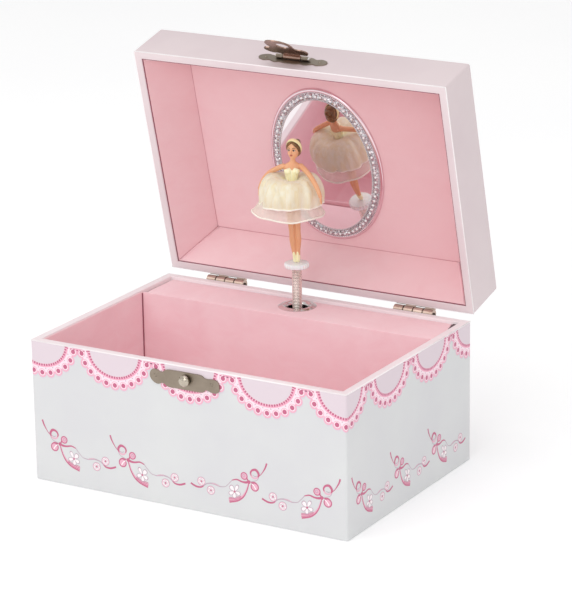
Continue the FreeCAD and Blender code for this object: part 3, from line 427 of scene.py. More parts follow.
# the key's hole in the rear wall
cutter = bpy.data.objects.new("cutter", bpy.data.meshes.new("cutter"))
bm = bmesh.new()
bmesh.ops.create_cone(bm, cap_ends=True, segments=40, radius1=3.4 * MM, radius2=3.4 * MM, depth=12 * MM,
                      matrix=Matrix.Translation((AX * MM, 62 * MM, 20 * MM)) @ Matrix.Rotation(math.radians(90), 4, "X"))
bm.to_mesh(cutter.data)
bm.free()
bpy.context.scene.collection.objects.link(cutter)
modify(base_shell, "BOOLEAN", operation="DIFFERENCE", object=cutter, solver="EXACT")
apply_mods(base_shell)
bpy.data.objects.remove(cutter)
smooth_by_angle(base_shell, 40)
for p in base_shell.data.polygons:
    c = p.center / MM
    inner = abs(c.x) < HW - 0.62 and abs(c.y) < HD - 0.62
    p.material_index = 1 if (inner and c.z > 3.2) or c.z > BZ - 0.5 else 0
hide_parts("base_front_wall", "base_rear_wall", "base_left_wall", "base_right_wall")

lid_shell, prof = wall_shell("lid_paper_walls", RIM, LTOP, False, "lid", [M_LIDPAPER, M_RIMPAPER], lid_pt)


def lid_back(v):
    """World mm back to closed-lid mm."""
    yy, zz = v[1] - HY, v[2] - HZ
    return (v[0], HY + yy * CO - zz * SO, HZ + yy * SO + zz * CO)


for p in lid_shell.data.polygons:
    c = lid_back(tuple(p.center / MM))
    inner = abs(c[0]) < HW - 0.62 and abs(c[1]) < HD - 0.62
    p.material_index = 1 if (inner and c[2] < LTOP - 3.1) or c[2] < RIM + 0.5 else 0
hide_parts("lid_front_wall", "lid_rear_wall", "lid_left_wall", "lid_right_wall")
# the lid's top panel fills the wrap: a flat board whose edge lies under it
v, f = loft([[(x, y, z) for x, y in rrect(HW - 2.99, HD - 2.99, 0.12)] for z in (LTOP - 2.99, LTOP)], False)
n = len(v) // 2
f.append(tuple(range(n)))
f.append(tuple(range(n, 2 * n))[::-1])
lid_top = new_obj("lid_top_papered", v, f, M_LIDPAPER, "lid", move=lid_pt)
fix_normals(lid_top)
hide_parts("lid_top_panel")
NODES["base_floor_panel"].data.materials[0] = M_PAPER


# ------------------------------------------------------------------ printed border and garlands
M_SHADE = ink("ink_shadow", "#D9D4DA", "#D2CCD3")
M_BAND = ink("ink_band", "#F2B0C6", "#EDA3BC")
M_LACE = ink("ink_lace", "#FBE4EC", "#F8DAE5")
M_FILL = ink("ink_lavender", "#E1D3DA", "#DCCCD4")
M_ROSE = ink("ink_rose", "#C96A8B", "#BF5E80")
M_MAUVE = ink("ink_mauve", "#C3ABB9", "#B79CAD")
M_PETAL = ink("ink_petal", "#FCF4F5", "#F6E9EC")
M_SOFT = ink("ink_soft", "#E9B4C6", "#E3A7BC")
INKS = [M_SHADE, M_BAND, M_LACE, M_FILL, M_ROSE, M_MAUVE, M_PETAL, M_SOFT]
PER = 2 * (2 * HW + 2 * HD)
CR = 1.25
S_LO, S_HI = -2 * HD, 4 * HW + 2 * HD


def wrap(sv, out):
    """Distance along the papered walls from the front left corner, to x and y."""
    corners = [(-2 * HD, -HW, HD, -90), (0.0, -HW, -HD, 0), (2 * HW, HW, -HD, 90), (2 * HW + 2 * HD, HW, HD, 180), (4 * HW + 2 * HD, -HW, HD, 270)]
    for c, cx, cy, _ in corners:
        if abs(sv - c) < CR:
            ax_, ay_ = cx - math.copysign(CR, cx), cy - math.copysign(CR, cy)
            mid = math.atan2(math.copysign(1, cy), math.copysign(1, cx))
            a = mid + (sv - c) / CR * math.radians(45)
            return ax_ + (CR + out) * math.cos(a), ay_ + (CR + out) * math.sin(a)
    if sv < 0:
        return -HW - out, -HD - sv
    if sv < 2 * HW:
        return -HW + sv, -HD - out
    if sv < 2 * HW + 2 * HD:
        return HW + out, -HD + (sv - 2 * HW)
    return HW - (sv - 2 * HW - 2 * HD), HD + out


class Print:
    """Flat ink shapes on the unrolled paper, each a thin closed layer."""

    def __init__(self):
        self.layers = {}

    def poly(self, pts, mat, lo, hi):
        self.layers.setdefault((mat, lo, hi), []).append(pts)

    def disc(self, u, v, r, mat, lo, hi, n=18, sx=1.0):
        self.poly([(u + sx * r * math.cos(2 * math.pi * i / n), v + r * math.sin(2 * math.pi * i / n)) for i in range(n)], mat, lo, hi)

    def strip(self, pa, pb, mat, lo, hi, closed=False):
        n = len(pa)
        for i in range(n if closed else n - 1):
            j = (i + 1) % n
            self.poly([pa[i], pa[j], pb[j], pb[i]], mat, lo, hi)

    def ring(self, u, v, r0, r1, mat, lo, hi, n=20, sx=1.0):
        o = [(u + sx * r1 * math.cos(2 * math.pi * i / n), v + r1 * math.sin(2 * math.pi * i / n)) for i in range(n)]
        q = [(u + sx * r0 * math.cos(2 * math.pi * i / n), v + r0 * math.sin(2 * math.pi * i / n)) for i in range(n)]
        self.strip(o, q, mat, lo, hi, True)

    def stroke(self, pts, widths, mat, lo, hi):
        pts = np.array(pts, float)
        k = len(pts)
        t = np.linspace(0, k - 1, (k - 1) * 7 + 1)
        w = np.interp(t, range(k), widths)
        c = np.array([catmull(pts, x) for x in t])
        d = np.gradient(c, axis=0)
        d /= np.maximum(1e-9, np.linalg.norm(d, axis=1))[:, None]
        nrm = np.stack([-d[:, 1], d[:, 0]], 1)
        a, b = c + nrm * w[:, None] / 2, c - nrm * w[:, None] / 2
        self.strip([tuple(x) for x in a], [tuple(x) for x in b], mat, lo, hi)

    def build(self, name, body, z_top, cuts):
        allv, allf, fm = [], [], []
        for (mat, lo, hi), polys in self.layers.items():
            bm = bmesh.new()
            cache = {}
            for pts in polys:
                vs = []
                for q in pts:
                    key = (round(q[0], 4), round(q[1], 4))
                    if key not in cache:
                        cache[key] = bm.verts.new((key[0], key[1], 0))
                    if cache[key] not in vs:
                        vs.append(cache[key])
                if len(vs) > 2 and bm.faces.get(vs) is None:
                    try:
                        bm.faces.new(vs)
                    except ValueError:
                        pass
            for c, mode in cuts:
                g = bm.verts[:] + bm.edges[:] + bm.faces[:]
                bmesh.ops.bisect_plane(bm, geom=g, dist=1e-5, plane_co=(c, 0, 0), plane_no=(1, 0, 0), clear_inner=mode < 0, clear_outer=mode > 0)
            g = bm.verts[:] + bm.edges[:] + bm.faces[:]
            bmesh.ops.bisect_plane(bm, geom=g, dist=1e-5, plane_co=(0, -0.62, 0), plane_no=(0, 1, 0), clear_inner=False, clear_outer=True)
            if not bm.faces:
                bm.free()
                continue
            bmesh.ops.recalc_face_normals(bm, faces=bm.faces)
            r = bmesh.ops.extrude_face_region(bm, geom=bm.faces[:], use_keep_orig=True)
            for v in [x for x in r["geom"] if isinstance(x, bmesh.types.BMVert)]:
                v.co.z = 1.0
            bmesh.ops.recalc_face_normals(bm, faces=bm.faces)
            bm.verts.index_update()
            base = len(allv)
            for v in bm.verts:
                x, y = wrap(v.co.x, lo + (hi - lo) * v.co.z)
                allv.append((x, y, z_top + v.co.y))
            for f_ in bm.faces:
                allf.append([base + v.index for v in f_.verts])
                fm.append(INKS.index(mat))
            bm.free()
        o = new_obj(name, allv, allf, INKS, body, fmat=fm)
        fix_normals(o)
        return o


def catmull(p, t):
    i = min(int(t), len(p) - 2)
    f = t - i
    p0, p1, p2, p3 = p[max(i - 1, 0)], p[i], p[i + 1], p[min(i + 2, len(p) - 1)]
    return 0.5 * ((2 * p1) + (-p0 + p2) * f + (2 * p0 - 5 * p1 + 4 * p2 - p3) * f * f + (-p0 + 3 * p1 - 3 * p2 + p3) * f ** 3)


def scallop(P, c, k):
    """One hanging scallop of the lace border; v is down from the rim, negative."""
    ea, eb = 19.45 * k, 16.3
    eyes = []
    for i in range(11):
        # equal steps along the ellipse
        eyes.append(None)
    th = np.linspace(math.radians(3), math.radians(177), 600)
    px, py = ea * np.cos(th), eb * np.sin(th)
    L = np.concatenate([[0], np.cumsum(np.hypot(np.diff(px), np.diff(py)))])
    for i in range(11):
        t = np.interp(L[-1] * (i + 0.36) / 10.72, L, th)
        eyes[i] = (ea * math.cos(t), eb * math.sin(t))

    def edge(rr, n=200):
        out = []
        for j in range(n + 1):
            a = math.pi * j / n
            dx, dy = math.cos(a), math.sin(a)
            best = 1.0 / math.sqrt((dx / (ea - 0.3)) ** 2 + (dy / (eb - 0.3)) ** 2)
            for ex, ey in eyes:
                bq = ex * dx + ey * dy
                disc = rr * rr - (ex * ex + ey * ey - bq * bq)
                if disc > 0:
                    best = max(best, bq + math.sqrt(disc))
            q = (best * dx, best * dy)
            lim = 21.78 * k
            out.append((max(-lim, min(lim, q[0])), q[1]))
        return out

    def inner(a, b, n=200):
        return [(a * math.cos(math.pi * j / n), b * math.sin(math.pi * j / n)) for j in range(n + 1)]

    def put(pts, du=0.0, dv=0.0):
        return [(c + x + du, -y - dv) for x, y in pts]

    out1, out2 = edge(2.52), edge(2.05)
    P.strip(put(out1, 0.35, 0.75), put(inner(15.2 * k, 12.6), 0.35, 0.75), M_SHADE, 0.004, 0.014)
    P.strip(put(out1), put(inner(14.2 * k, 11.7)), M_BAND, 0.010, 0.030)
    P.strip(put(out2), put(inner(16.2 * k, 13.4)), M_LACE, 0.020, 0.042)
    P.strip(put(inner(15.15 * k, 12.55)), put(inner(14.45 * k, 11.9)), M_LACE, 0.020, 0.042)
    P.strip(put(inner(14.2 * k, 11.7)), [(c + x, -0.4) for x, y in inner(14.2 * k, 11.7)], M_FILL, 0.008, 0.026)
    nb = 29
    tb = np.linspace(0, math.pi, 600)
    bx, by = 14.85 * k * np.cos(tb), 12.25 * np.sin(tb)
    Lb = np.concatenate([[0], np.cumsum(np.hypot(np.diff(bx), np.diff(by)))])
    for i in range(nb):
        t = np.interp(Lb[-1] * (i + 0.5) / nb, Lb, tb)
        P.disc(c + 14.85 * k * math.cos(t), -12.25 * math.sin(t), 0.62, M_ROSE, 0.034, 0.056, 10)
    for ex, ey in eyes:
        P.disc(c + ex, -ey, 1.22, M_ROSE, 0.034, 0.056, 16)
        P.ring(c + ex, -ey, 1.72, 2.02, M_SOFT, 0.034, 0.050, 18)
    for (x0, y0), (x1, y1) in zip(eyes, eyes[1:]):
        mx, my = (x0 + x1) / 2, (y0 + y1) / 2
        n = math.hypot(mx, my * ea / eb)
        P.disc(c + mx * 0.875, -my * 0.865, 0.48, M_MAUVE, 0.034, 0.052, 3)
    # the chain of dashes along the rim in the valley to the right
    for i in range(4):
        x = 15.9 * k + i * 1.95
        for sgn in (-1, 1):
            P.poly([(c + sgn * x - 0.55, -0.95 - 0.12 * i), (c + sgn * x + 0.55, -0.95 - 0.12 * i), (c + sgn * x + 0.5, -1.45 - 0.12 * i), (c + sgn * x - 0.5, -1.45 - 0.12 * i)], M_ROSE, 0.034, 0.056)
    for sgn in (-1, 1):
        P.poly([(c + sgn * 14.0 * k, -0.4), (c + sgn * 21.8 * k, -0.4), (c + sgn * 21.8 * k, -3.6), (c + sgn * 17.5 * k, -3.6)], M_BAND, 0.006, 0.022)


border = Print()
for c in (-121.9, -79.1, -36.3, 6.5, 50.0, 93.7, 137.3, 180.9, 223.8, 266.6, 309.4, 353.0, 396.6, 440.2, 483.8):
    scallop(border, c, 42.8 / 43.6 if c < 0 or 200 < c < 300 else 1.0)
cuts = [(S_LO + 0.3, -1), (S_HI - 0.3, 1)]
for c in (-2 * HD, 0.0, 2 * HW, 2 * HW + 2 * HD, 4 * HW + 2 * HD):
    cuts += [(c + CR * t, 0) for t in (-1.0, -0.6, -0.2, 0.2, 0.6, 1.0)]
lace = border.build("print_lace_border", "base", BZ, cuts)


def motif(P, c, zb, m=1, k=1.0):
    """Bow, ribbon tails, five-petal flower and two rosettes; m = -1 mirrors it."""

    def T(pts):
        return [(c + m * x * k, zb + y) for x, y in pts]

    A, B, C_, D = (0.006, 0.02), (0.014, 0.03), (0.024, 0.04), (0.034, 0.05)
    # the long ribbon, upper left tail to far right end
    P.stroke(T([(-10.2, 11.4), (-9.3, 8.9), (-7.4, 5.8), (-5.7, 4.0)]), [0.95, 0.8, 0.4, 0.35], M_ROSE, *B)
    P.stroke(T([(-5.7, 4.0), (-4.6, 1.8), (-1.5, 0.5), (0, 0)]), [0.3, 0.28, 0.3, 0.5], M_MAUVE, *A)
    P.stroke(T([(0, 0.2), (1.8, -0.5), (4.1, -0.5), (7.0, 0.1), (9.6, -0.7)]), [1.1, 1.2, 0.9, 0.75, 0.5], M_ROSE, *B)
    P.stroke(T([(9.6, -0.7), (11.5, -2.8), (13.7, -4.8), (16.7, -5.3)]), [0.42, 0.3, 0.3, 0.5], M_MAUVE, *A)
    P.stroke(T([(16.7, -5.3), (18.9, -4.7), (21.1, -4.5), (24.1, -5.1), (26.4, -6.8)]), [0.5, 0.85, 0.7, 0.5, 0.55], M_MAUVE, *A)
    P.stroke(T([(16.9, -5.15), (19.0, -4.5), (21.1, -4.3)]), [0.2, 0.3, 0.2], M_SOFT, *B)
    P.stroke(T([(26.0, -6.5), (27.6, -7.5), (30.4, -7.6), (33.5, -6.4)]), [0.55, 0.85, 1.0, 0.9], M_ROSE, *B)
    # loops
    P.ring(c + m * -3.2 * k, zb + 4.6, 1.75, 2.55, M_SOFT, *B, n=26)
    P.stroke(T([(-5.2, 3.4), (-5.5, 5.2), (-4.0, 6.9), (-1.9, 6.4), (-0.9, 4.8), (-1.4, 3.6)]), [0.7, 1.25, 1.35, 1.0, 0.8, 0.4], M_ROSE, *C_)
    P.stroke(T([(-4.6, 3.9), (-3.4, 3.5), (-2.2, 4.0)]), [0.25, 0.35, 0.25], M_MAUVE, *C_)
    P.disc(c + m * -3.2 * k, zb - 2.0, 2.35, M_SOFT, *A)
    P.ring(c + m * -3.2 * k, zb - 2.0, 1.75, 2.35, M_ROSE, *B, n=24)
    P.stroke(T([(-3.9, -3.2), (-2.4, -1.2), (-0.4, -0.1)]), [0.6, 0.5, 0.5], M_PETAL, *C_)
    P.stroke(T([(-4.6, -0.4), (-3.2, 0.2), (-1.2, -0.2)]), [0.5, 0.9, 0.9], M_ROSE, *C_)
    P.disc(c + m * 2.7 * k, zb + 2.7, 1.95, M_SOFT, *A)
    P.ring(c + m * 2.7 * k, zb + 2.7, 1.45, 2.0, M_ROSE, *B, n=24)
    P.ring(c + m * 2.9 * k, zb + 2.8, 0.55, 0.85, M_MAUVE, *B, n=14)
    P.stroke(T([(0.2, 0.1), (1.0, 1.4), (1.3, 2.4)]), [0.7, 0.8, 0.5], M_ROSE, *C_)
    P.disc(c, zb, 0.95, M_ROSE, *D)
    # the falling ribbon, widening under the flower
    P.stroke(T([(0.2, -0.4), (0.8, -2.6), (2.0, -5.7), (4.1, -8.5), (7.0, -10.4), (11.6, -11.6)]), [0.7, 0.8, 0.95, 1.3, 2.0, 2.5], M_SOFT, *A)
    P.stroke(T([(0.1, -0.4), (0.6, -2.6), (1.8, -5.8), (3.8, -8.8), (6.8, -10.9), (11.4, -12.4)]), [0.5, 0.55, 0.6, 0.7, 0.8, 0.8], M_ROSE, *B)
    for dy in (0.0, 0.85, 1.6):
        P.stroke(T([(4.6, -8.9 + dy * 0.5), (7.8, -10.5 + dy * 0.8), (11.6, -11.6 + dy)]), [0.2, 0.3, 0.35], M_ROSE, *B)
    # flower
    petals = [((8.3, -6.4), (6.2, -2.6), 1.25), ((8.3, -6.4), (10.9, -3.6), 1.7), ((8.3, -6.4), (11.6, -8.2), 1.4), ((8.3, -6.4), (8.6, -10.0), 1.4), ((8.3, -6.4), (4.9, -7.4), 1.35)]
    for (x0, y0), (x1, y1), w in petals:
        dx, dy = x1 - x0, y1 - y0
        L = math.hypot(dx, dy)
        ux, uy = dx / L, dy / L
        outl = []
        for i in range(22):
            a = 2 * math.pi * i / 22
            t = (1 - math.cos(a)) / 2
            wd = w * math.sin(a) * (0.35 + 0.75 * t)
            outl.append((x0 + ux * L * t - uy * wd, y0 + uy * L * t + ux * wd))
        cx = sum(q[0] for q in outl) / 22
        cy_ = sum(q[1] for q in outl) / 22
        for s2, mt, (lo, hi) in ((1.0, M_MAUVE, C_), (0.76, M_PETAL, D)):
            P.poly(T([(cx + (x - cx) * s2, cy_ + (y - cy_) * s2) for x, y in outl]), mt, lo, hi)
    P.disc(c + m * 8.3 * k, zb - 6.4, 0.55, M_ROSE, 0.044, 0.06, 10)
    # rosettes
    for x, y in ((21.9, -8.2), (27.3, -4.4)):
        P.disc(c + m * x * k, zb + y, 2.1, M_PETAL, *A, n=20)
        P.ring(c + m * x * k, zb + y, 1.8, 2.3, M_SOFT, *B, n=24)
        P.ring(c + m * x * k, zb + y, 2.12, 2.32, M_MAUVE, *C_, n=24)
        for i in range(5):
            a = math.radians(90 + 72 * i)
            P.ring(c + m * x * k + 1.05 * math.cos(a), zb + y + 1.05 * math.sin(a), 0.36, 0.56, M_MAUVE, *B, n=10)
        P.disc(c + m * x * k, zb + y, 0.5, M_ROSE, *C_, n=10)


class Garland(Print):
    pass


gar = Garland()
B0 = BZ
for x, z, m in ((-75.0, 21.2, 1), (-34.2, 19.8, 1), (35.9, 20.7, -1), (76.6, 19.9, -1)):
    motif(gar, x + HW, z - B0, m)
    motif(gar, 2 * HW + 2 * HD + HW + x, z - B0, m)
for y, z in ((-50.2, 19.8), (-11.9, 20.2), (27.1, 19.9)):
    motif(gar, 2 * HW + HD + y, z - B0, 1, 0.93)
    motif(gar, -HD + y, z - B0, 1, 0.93)
garland = gar.build("print_garlands", "base", BZ, cuts)

# ------------------------------------------------------------------ velour linings
def plate_mesh(name, rings, body, mat, move=plain, cap0=True, cap1=True, deg=50):
    v, f = loft(rings, False)
    n = len(rings[0])
    if cap0:
        f.append(tuple(range(n))[::-1])
    if cap1:
        f.append(tuple(range(len(v) - n, len(v))))
    o = new_obj(name, v, f, mat, body, move=move)
    fix_normals(o)
    smooth_by_angle(o, deg)
    return o


# tray: a thin open box of velour on card, soft at the foot
ox, oy0, oy1 = 86.28, -59.98, 31.35
cy, hy_ = (oy0 + oy1) / 2, (oy1 - oy0) / 2


def tray_ring(inset, z, r):
    return [(x, y, z) for x, y in rrect(ox - inset, hy_ - inset, r, 7, 0.0, cy)]


rings = [
    tray_ring(1.5, 3.02, 0.4),
    tray_ring(0.0, 3.02, 0.4),
    tray_ring(0.0, 73.2, 0.4),
    tray_ring(0.12, 73.5, 0.5),
    tray_ring(0.32, 73.6, 0.7),
    tray_ring(0.52, 73.5, 0.9),
    tray_ring(0.6, 73.2, 0.5),
    tray_ring(0.6, 50.0, 0.5),
    tray_ring(0.6, 6.0, 0.5),
    tray_ring(0.85, 4.6, 0.7),
    tray_ring(1.6, 3.85, 1.0),
    tray_ring(3.0, 3.6, 1.4),
]
tray = plate_mesh("tray_velour", rings, "base", M_VELOUR, deg=60)
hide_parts("tray_lining")

# movement cover: a padded card folded over the compartment
def cover():
    e = 85.5
    tk = 2.0
    fold = 3.4
    outer, inner = [], []
    outer.append((31.4, 3.05))
    for z in (12, 24, 36, 48, 58, 64):
        outer.append((31.4, z))
    for i in range(9):
        a = math.radians(180 - 90 * i / 8)
        outer.append((31.4 + fold + fold * math.cos(a), 72.7 - fold + fold * math.sin(a)))
    for y in (38, 44, 50, 56):
        outer.append((y, 72.7))
    outer.append((59.3, 72.7))
    outer.append((59.7, 72.45))
    inner.append((59.7, 70.8))
    inner.append((34.6, 70.8))
    inner.append((33.4, 69.6))
    inner.append((33.4, 3.05))
    prof = outer + inner
    no = len(outer)
    xs = [-e, -e + 0.15, -e + 0.5, -e + 1.2] + [float(x) for x in np.linspace(-82, 82, 60)] + [e - 1.2, e - 0.5, e - 0.15, e]
    verts, faces = [], []
    for x in xs:
        edge = min(1.0, (e - abs(x)) / 1.2)
        rnd = (1 - math.sqrt(max(0.0, 1 - (1 - edge) ** 2))) * 0.9
        for k, (y, z) in enumerate(prof):
            if k < no:
                # the ends roll under a little; the fold's skin is gently uneven
                w = 0.10 * math.sin(x * 0.11 + 1.0) + 0.06 * math.sin(x * 0.31)
                if 7 <= k <= 15:
                    t = (k - 7) / 8
                    ny, nz = -math.cos(t * math.pi / 2), math.sin(t * math.pi / 2)
                    y2, z2 = y - ny * (rnd + 0.05 - w * 0.35) * 1.0, z - nz * (rnd + 0.05 - w * 0.35)
                elif k < 7:
                    y2, z2 = y + rnd + (0.05 - w * 0.3) * (k / 7), z
                else:
                    y2, z2 = y, z - rnd
                verts.append((x, y2, z2))
            else:
                verts.append((x, y, z))
    n = len(prof)
    for i in range(len(xs) - 1):
        for j in range(n):
            j2 = (j + 1) % n
            faces.append((i * n + j, i * n + j2, (i + 1) * n + j2, (i + 1) * n + j))
    faces.append(tuple(range(n)))
    faces.append(tuple(range((len(xs) - 1) * n, len(xs) * n))[::-1])
    o = new_obj("movement_cover_velour", verts, faces, M_VELOUR, "base")
    fix_normals(o)
    # the grommet's hole and the tapering gap at the right rear
    def cut(verts, faces):
        c = bpy.data.objects.new("cut", bpy.data.meshes.new("cut"))
        c.data.from_pydata([tuple(q * MM for q in p) for p in verts], [], faces)
        bpy.context.scene.collection.objects.link(c)
        fix_normals(c)
        modify(o, "BOOLEAN", operation="DIFFERENCE", object=c, solver="EXACT")
        apply_mods(o)
        bpy.data.objects.remove(c)

    nseg = 48
    ring = [(AX + 6.9 * math.cos(2 * math.pi * i / nseg), AY + 6.9 * math.sin(2 * math.pi * i / nseg)) for i in range(nseg)]
    cut(
        [(x, y, 68.0) for x, y in ring] + [(x, y, 76.0) for x, y in ring],
        [tuple(range(nseg)), tuple(range(nseg, 2 * nseg))] + [(i, (i + 1) % nseg, nseg + (i + 1) % nseg, nseg + i) for i in range(nseg)],
    )
    tri = [(86.5, 46.0), (86.5, 62.0), (81.9, 62.0), (82.1, 59.0)]
    cut(
        [(x, y, 68.0) for x, y in tri] + [(x, y, 76.0) for x, y in tri],
        [(0, 1, 2, 3), (4, 5, 6, 7)] + [(i, (i + 1) % 4, 4 + (i + 1) % 4, 4 + i) for i in range(4)],
    )
    smooth_by_angle(o, 42)
    return o


cov = cover()
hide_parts("movement_cover")


# lid lining: card slopes in from the rim to the inner panel, mitred at its corners
def lid_lining():
    lx, ly = 86.28, 59.98
    zr, zp = RIM + 0.9, 97.7

    def sq(hx, hy, z, r, bow=0.0, n=5):
        """A rectangle of fixed point count with its sides bowed outward by bow."""
        out = []
        m = 14
        cor = [(hx, -hy), (hx, hy), (-hx, hy), (-hx, -hy)]
        for i in range(4):
            (x0, y0), (x1, y1) = cor[i], cor[(i + 1) % 4]
            L = math.hypot(x1 - x0, y1 - y0)
            dx, dy = (x1 - x0) / L, (y1 - y0) / L
            for k in range(m):
                t = k / m
                s = math.sin(math.pi * t)
                x, y = x0 + (x1 - x0) * t, y0 + (y1 - y0) * t
                out.append((x + dy * bow * s, y - dx * bow * s, z))
        return out

    rings = []
    rings.append(sq(lx, ly, zp + 0.75, 0))
    rings.append(sq(lx, ly, zr + 0.4, 0))
    rings.append(sq(lx - 0.15, ly - 0.15, zr + 0.12, 0))
    rings.append(sq(lx - 0.4, ly - 0.4, zr, 0))
    rings.append(sq(lx - 0.7, ly - 0.7, zr + 0.15, 0))
    x0, y0, x1, y1 = lx - 0.85, ly - 0.85, 72.8, 49.0
    for i in range(1, 10):
        t = i / 10
        rings.append(sq(x0 + (x1 - x0) * t, y0 + (y1 - y0) * t, zr + 0.45 + (zp - zr - 0.45) * t, 0, -0.35 * math.sin(math.pi * t)))
    rings.append(sq(x1 + 0.25, y1 + 0.25, zp - 0.12, 0))
    rings.append(sq(x1 - 0.1, y1 - 0.1, zp + 0.04, 0))
    rings.append(sq(x1 - 0.8, y1 - 0.8, zp, 0))
    v, f = loft(rings, False)
    n = len(rings[0])
    f.append(tuple(range(len(v) - n, len(v))))
    f.append(tuple(range(n)))
    o = new_obj("lid_velour", v, f, M_LIDVEL_PAINTED_SHADE, "lid", move=lid_pt)
    fix_normals(o)
    smooth_by_angle(o, 12)
    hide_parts("lid_lining")
    return o


lid_lining()


def cord(pts, r, n=8):
    """A straight-run thread through the points, as rings and faces."""
    P = [np.array(p, float) for p in pts]
    verts, faces = [], []
    for i, p in enumerate(P):
        t = P[min(i + 1, len(P) - 1)] - P[max(i - 1, 0)]
        t = t / np.linalg.norm(t)
        a = np.cross(t, (0.31, 0.27, 0.91))
        a /= np.linalg.norm(a)
        b = np.cross(t, a)
        for q in range(n):
            w = 2 * math.pi * q / n
            verts.append(tuple(p + r * (math.cos(w) * a + math.sin(w) * b)))
    for i in range(len(P) - 1):
        for q in range(n):
            q2 = (q + 1) % n
            faces.append((i * n + q, i * n + q2, (i + 1) * n + q2, (i + 1) * n + q))
    faces.append(tuple(range(n))[::-1])
    faces.append(tuple((len(P) - 1) * n + q for q in range(n)))
    return verts, faces


def cords(name, runs, mat, body, move):
    verts, faces = [], []
    for v, f in runs:
        k = len(verts)
        verts += v
        faces += [tuple(i + k for i in q) for q in f]
    o = new_obj(name, verts, faces, mat, body, smooth=True, move=move)
    fix_normals(o)
    return o


def seams():
    # painted shade: dark velour cords down the lining's corner creases and round the inner panel stand in for the shade
    # in those creases; the pale cords are raised piping of the lining's own velour
    z0, z1 = RIM + 1.35, 97.7
    dark, light = [], []
    for sx in (-1, 1):
        for sy in (-1, 1):
            dark.append(cord([(sx * 85.5, sy * 59.2, z0), (sx * 72.85, sy * 49.05, z1 + 0.02)], 0.3))
            light.append(cord([(sx * 84.5, sy * 59.0, z0 + 0.1), (sx * 72.0, sy * 49.0, z1 - 0.05)], 0.34))
    for sx in (-1, 1):
        dark.append(cord([(sx * 72.85, -49.0, z1 + 0.05), (sx * 72.85, 49.0, z1 + 0.05)], 0.22))
    for sy in (-1, 1):
        dark.append(cord([(-72.8, sy * 49.05, z1 + 0.05), (72.8, sy * 49.05, z1 + 0.05)], 0.22))
    cords("lid_seam_painted_shade", dark, M_PAINTED_CREASE_SHADE, "lid", lid_pt)
    cords("lid_seam_fold", light, M_VELOUR, "lid", lid_pt)
    # painted shadow: dark velour cords along the junction of rim and lining stand in for the shade in that recess
    z = RIM + 0.72
    x, y = 86.12, 59.82
    edge = [cord([(-x, -y, z), (x, -y, z)], 0.36), cord([(-x, y, z), (x, y, z)], 0.3), cord([(-x, -y, z), (-x, y, z)], 0.3), cord([(x, -y, z), (x, y, z)], 0.3)]
    cords("lid_edge_painted_shadow", edge, M_PAINTED_GAP_SHADE, "lid", lid_pt)
    # painted highlight: pale cords along the outer edges of both rims, brighter than the rim paper, stand in for the
    # light caught by the paper's folded edge
    for nme, z, body, mv in (("lid_rim_painted_highlight", RIM + 0.22, "lid", lid_pt), ("base_rim_painted_highlight", BZ - 0.22, "base", plain)):
        x, y = 90.5 - 0.24, 64.2 - 0.24
        run = [cord([(-x, -y, z), (x, -y, z)], 0.26), cord([(-x, y, z), (x, y, z)], 0.26), cord([(-x, -y, z), (-x, y, z)], 0.26), cord([(x, -y, z), (x, y, z)], 0.26)]
        cords(nme, run, M_PAINTED_EDGE_HIGHLIGHT, body, mv)
    x0, x1, ya, yb = -85.62, 85.62, -59.32, 30.69
    # painted shadow: a dark velour wedge sits in the tapering gap at the deck's right rear, standing in for the shade
    # in it
    wedge = [(86.25, 45.0), (86.25, 59.6), (82.9, 59.6), (84.2, 51.5)]
    wv = [(x, y, z) for z in (72.6, 72.86) for x, y in wedge]
    wf = [(3, 2, 1, 0), (4, 5, 6, 7)] + [(a, (a + 1) % 4, (a + 1) % 4 + 4, a + 4) for a in range(4)]
    o = new_obj("deck_end_painted_shadow", wv, wf, M_PAINTED_DEEP_SHADE, "base")
    fix_normals(o)
    # painted shade: dark velour cords down the tray's four inner corners stand in for the shade in those corners
    cords("tray_corner_painted_shade", [cord([(a, b, 6.0), (a, b, 73.0)], 0.5) for a in (x0, x1) for b in (ya, yb)], M_PAINTED_GAP_SHADE, "base", plain)


seams()


# ------------------------------------------------------------------ mirror frame
MX, MY, PZ = 1.8, 1.6, 97.7
M_CHROME = metal("chrome_pink", "#EBD5DA", "#D9BCC4", 0.07, 260.0, (1, 1, 1), 0.00001)
M_ROPE = metal("chrome_rope", "#D8D6D8", "#8F8B90", 0.16, 900.0, (1, 1, 1), 0.00002)
M_PEARL = plastic("pearl_dot", "#FFFFFF", "#F4F2F4", 0.18)


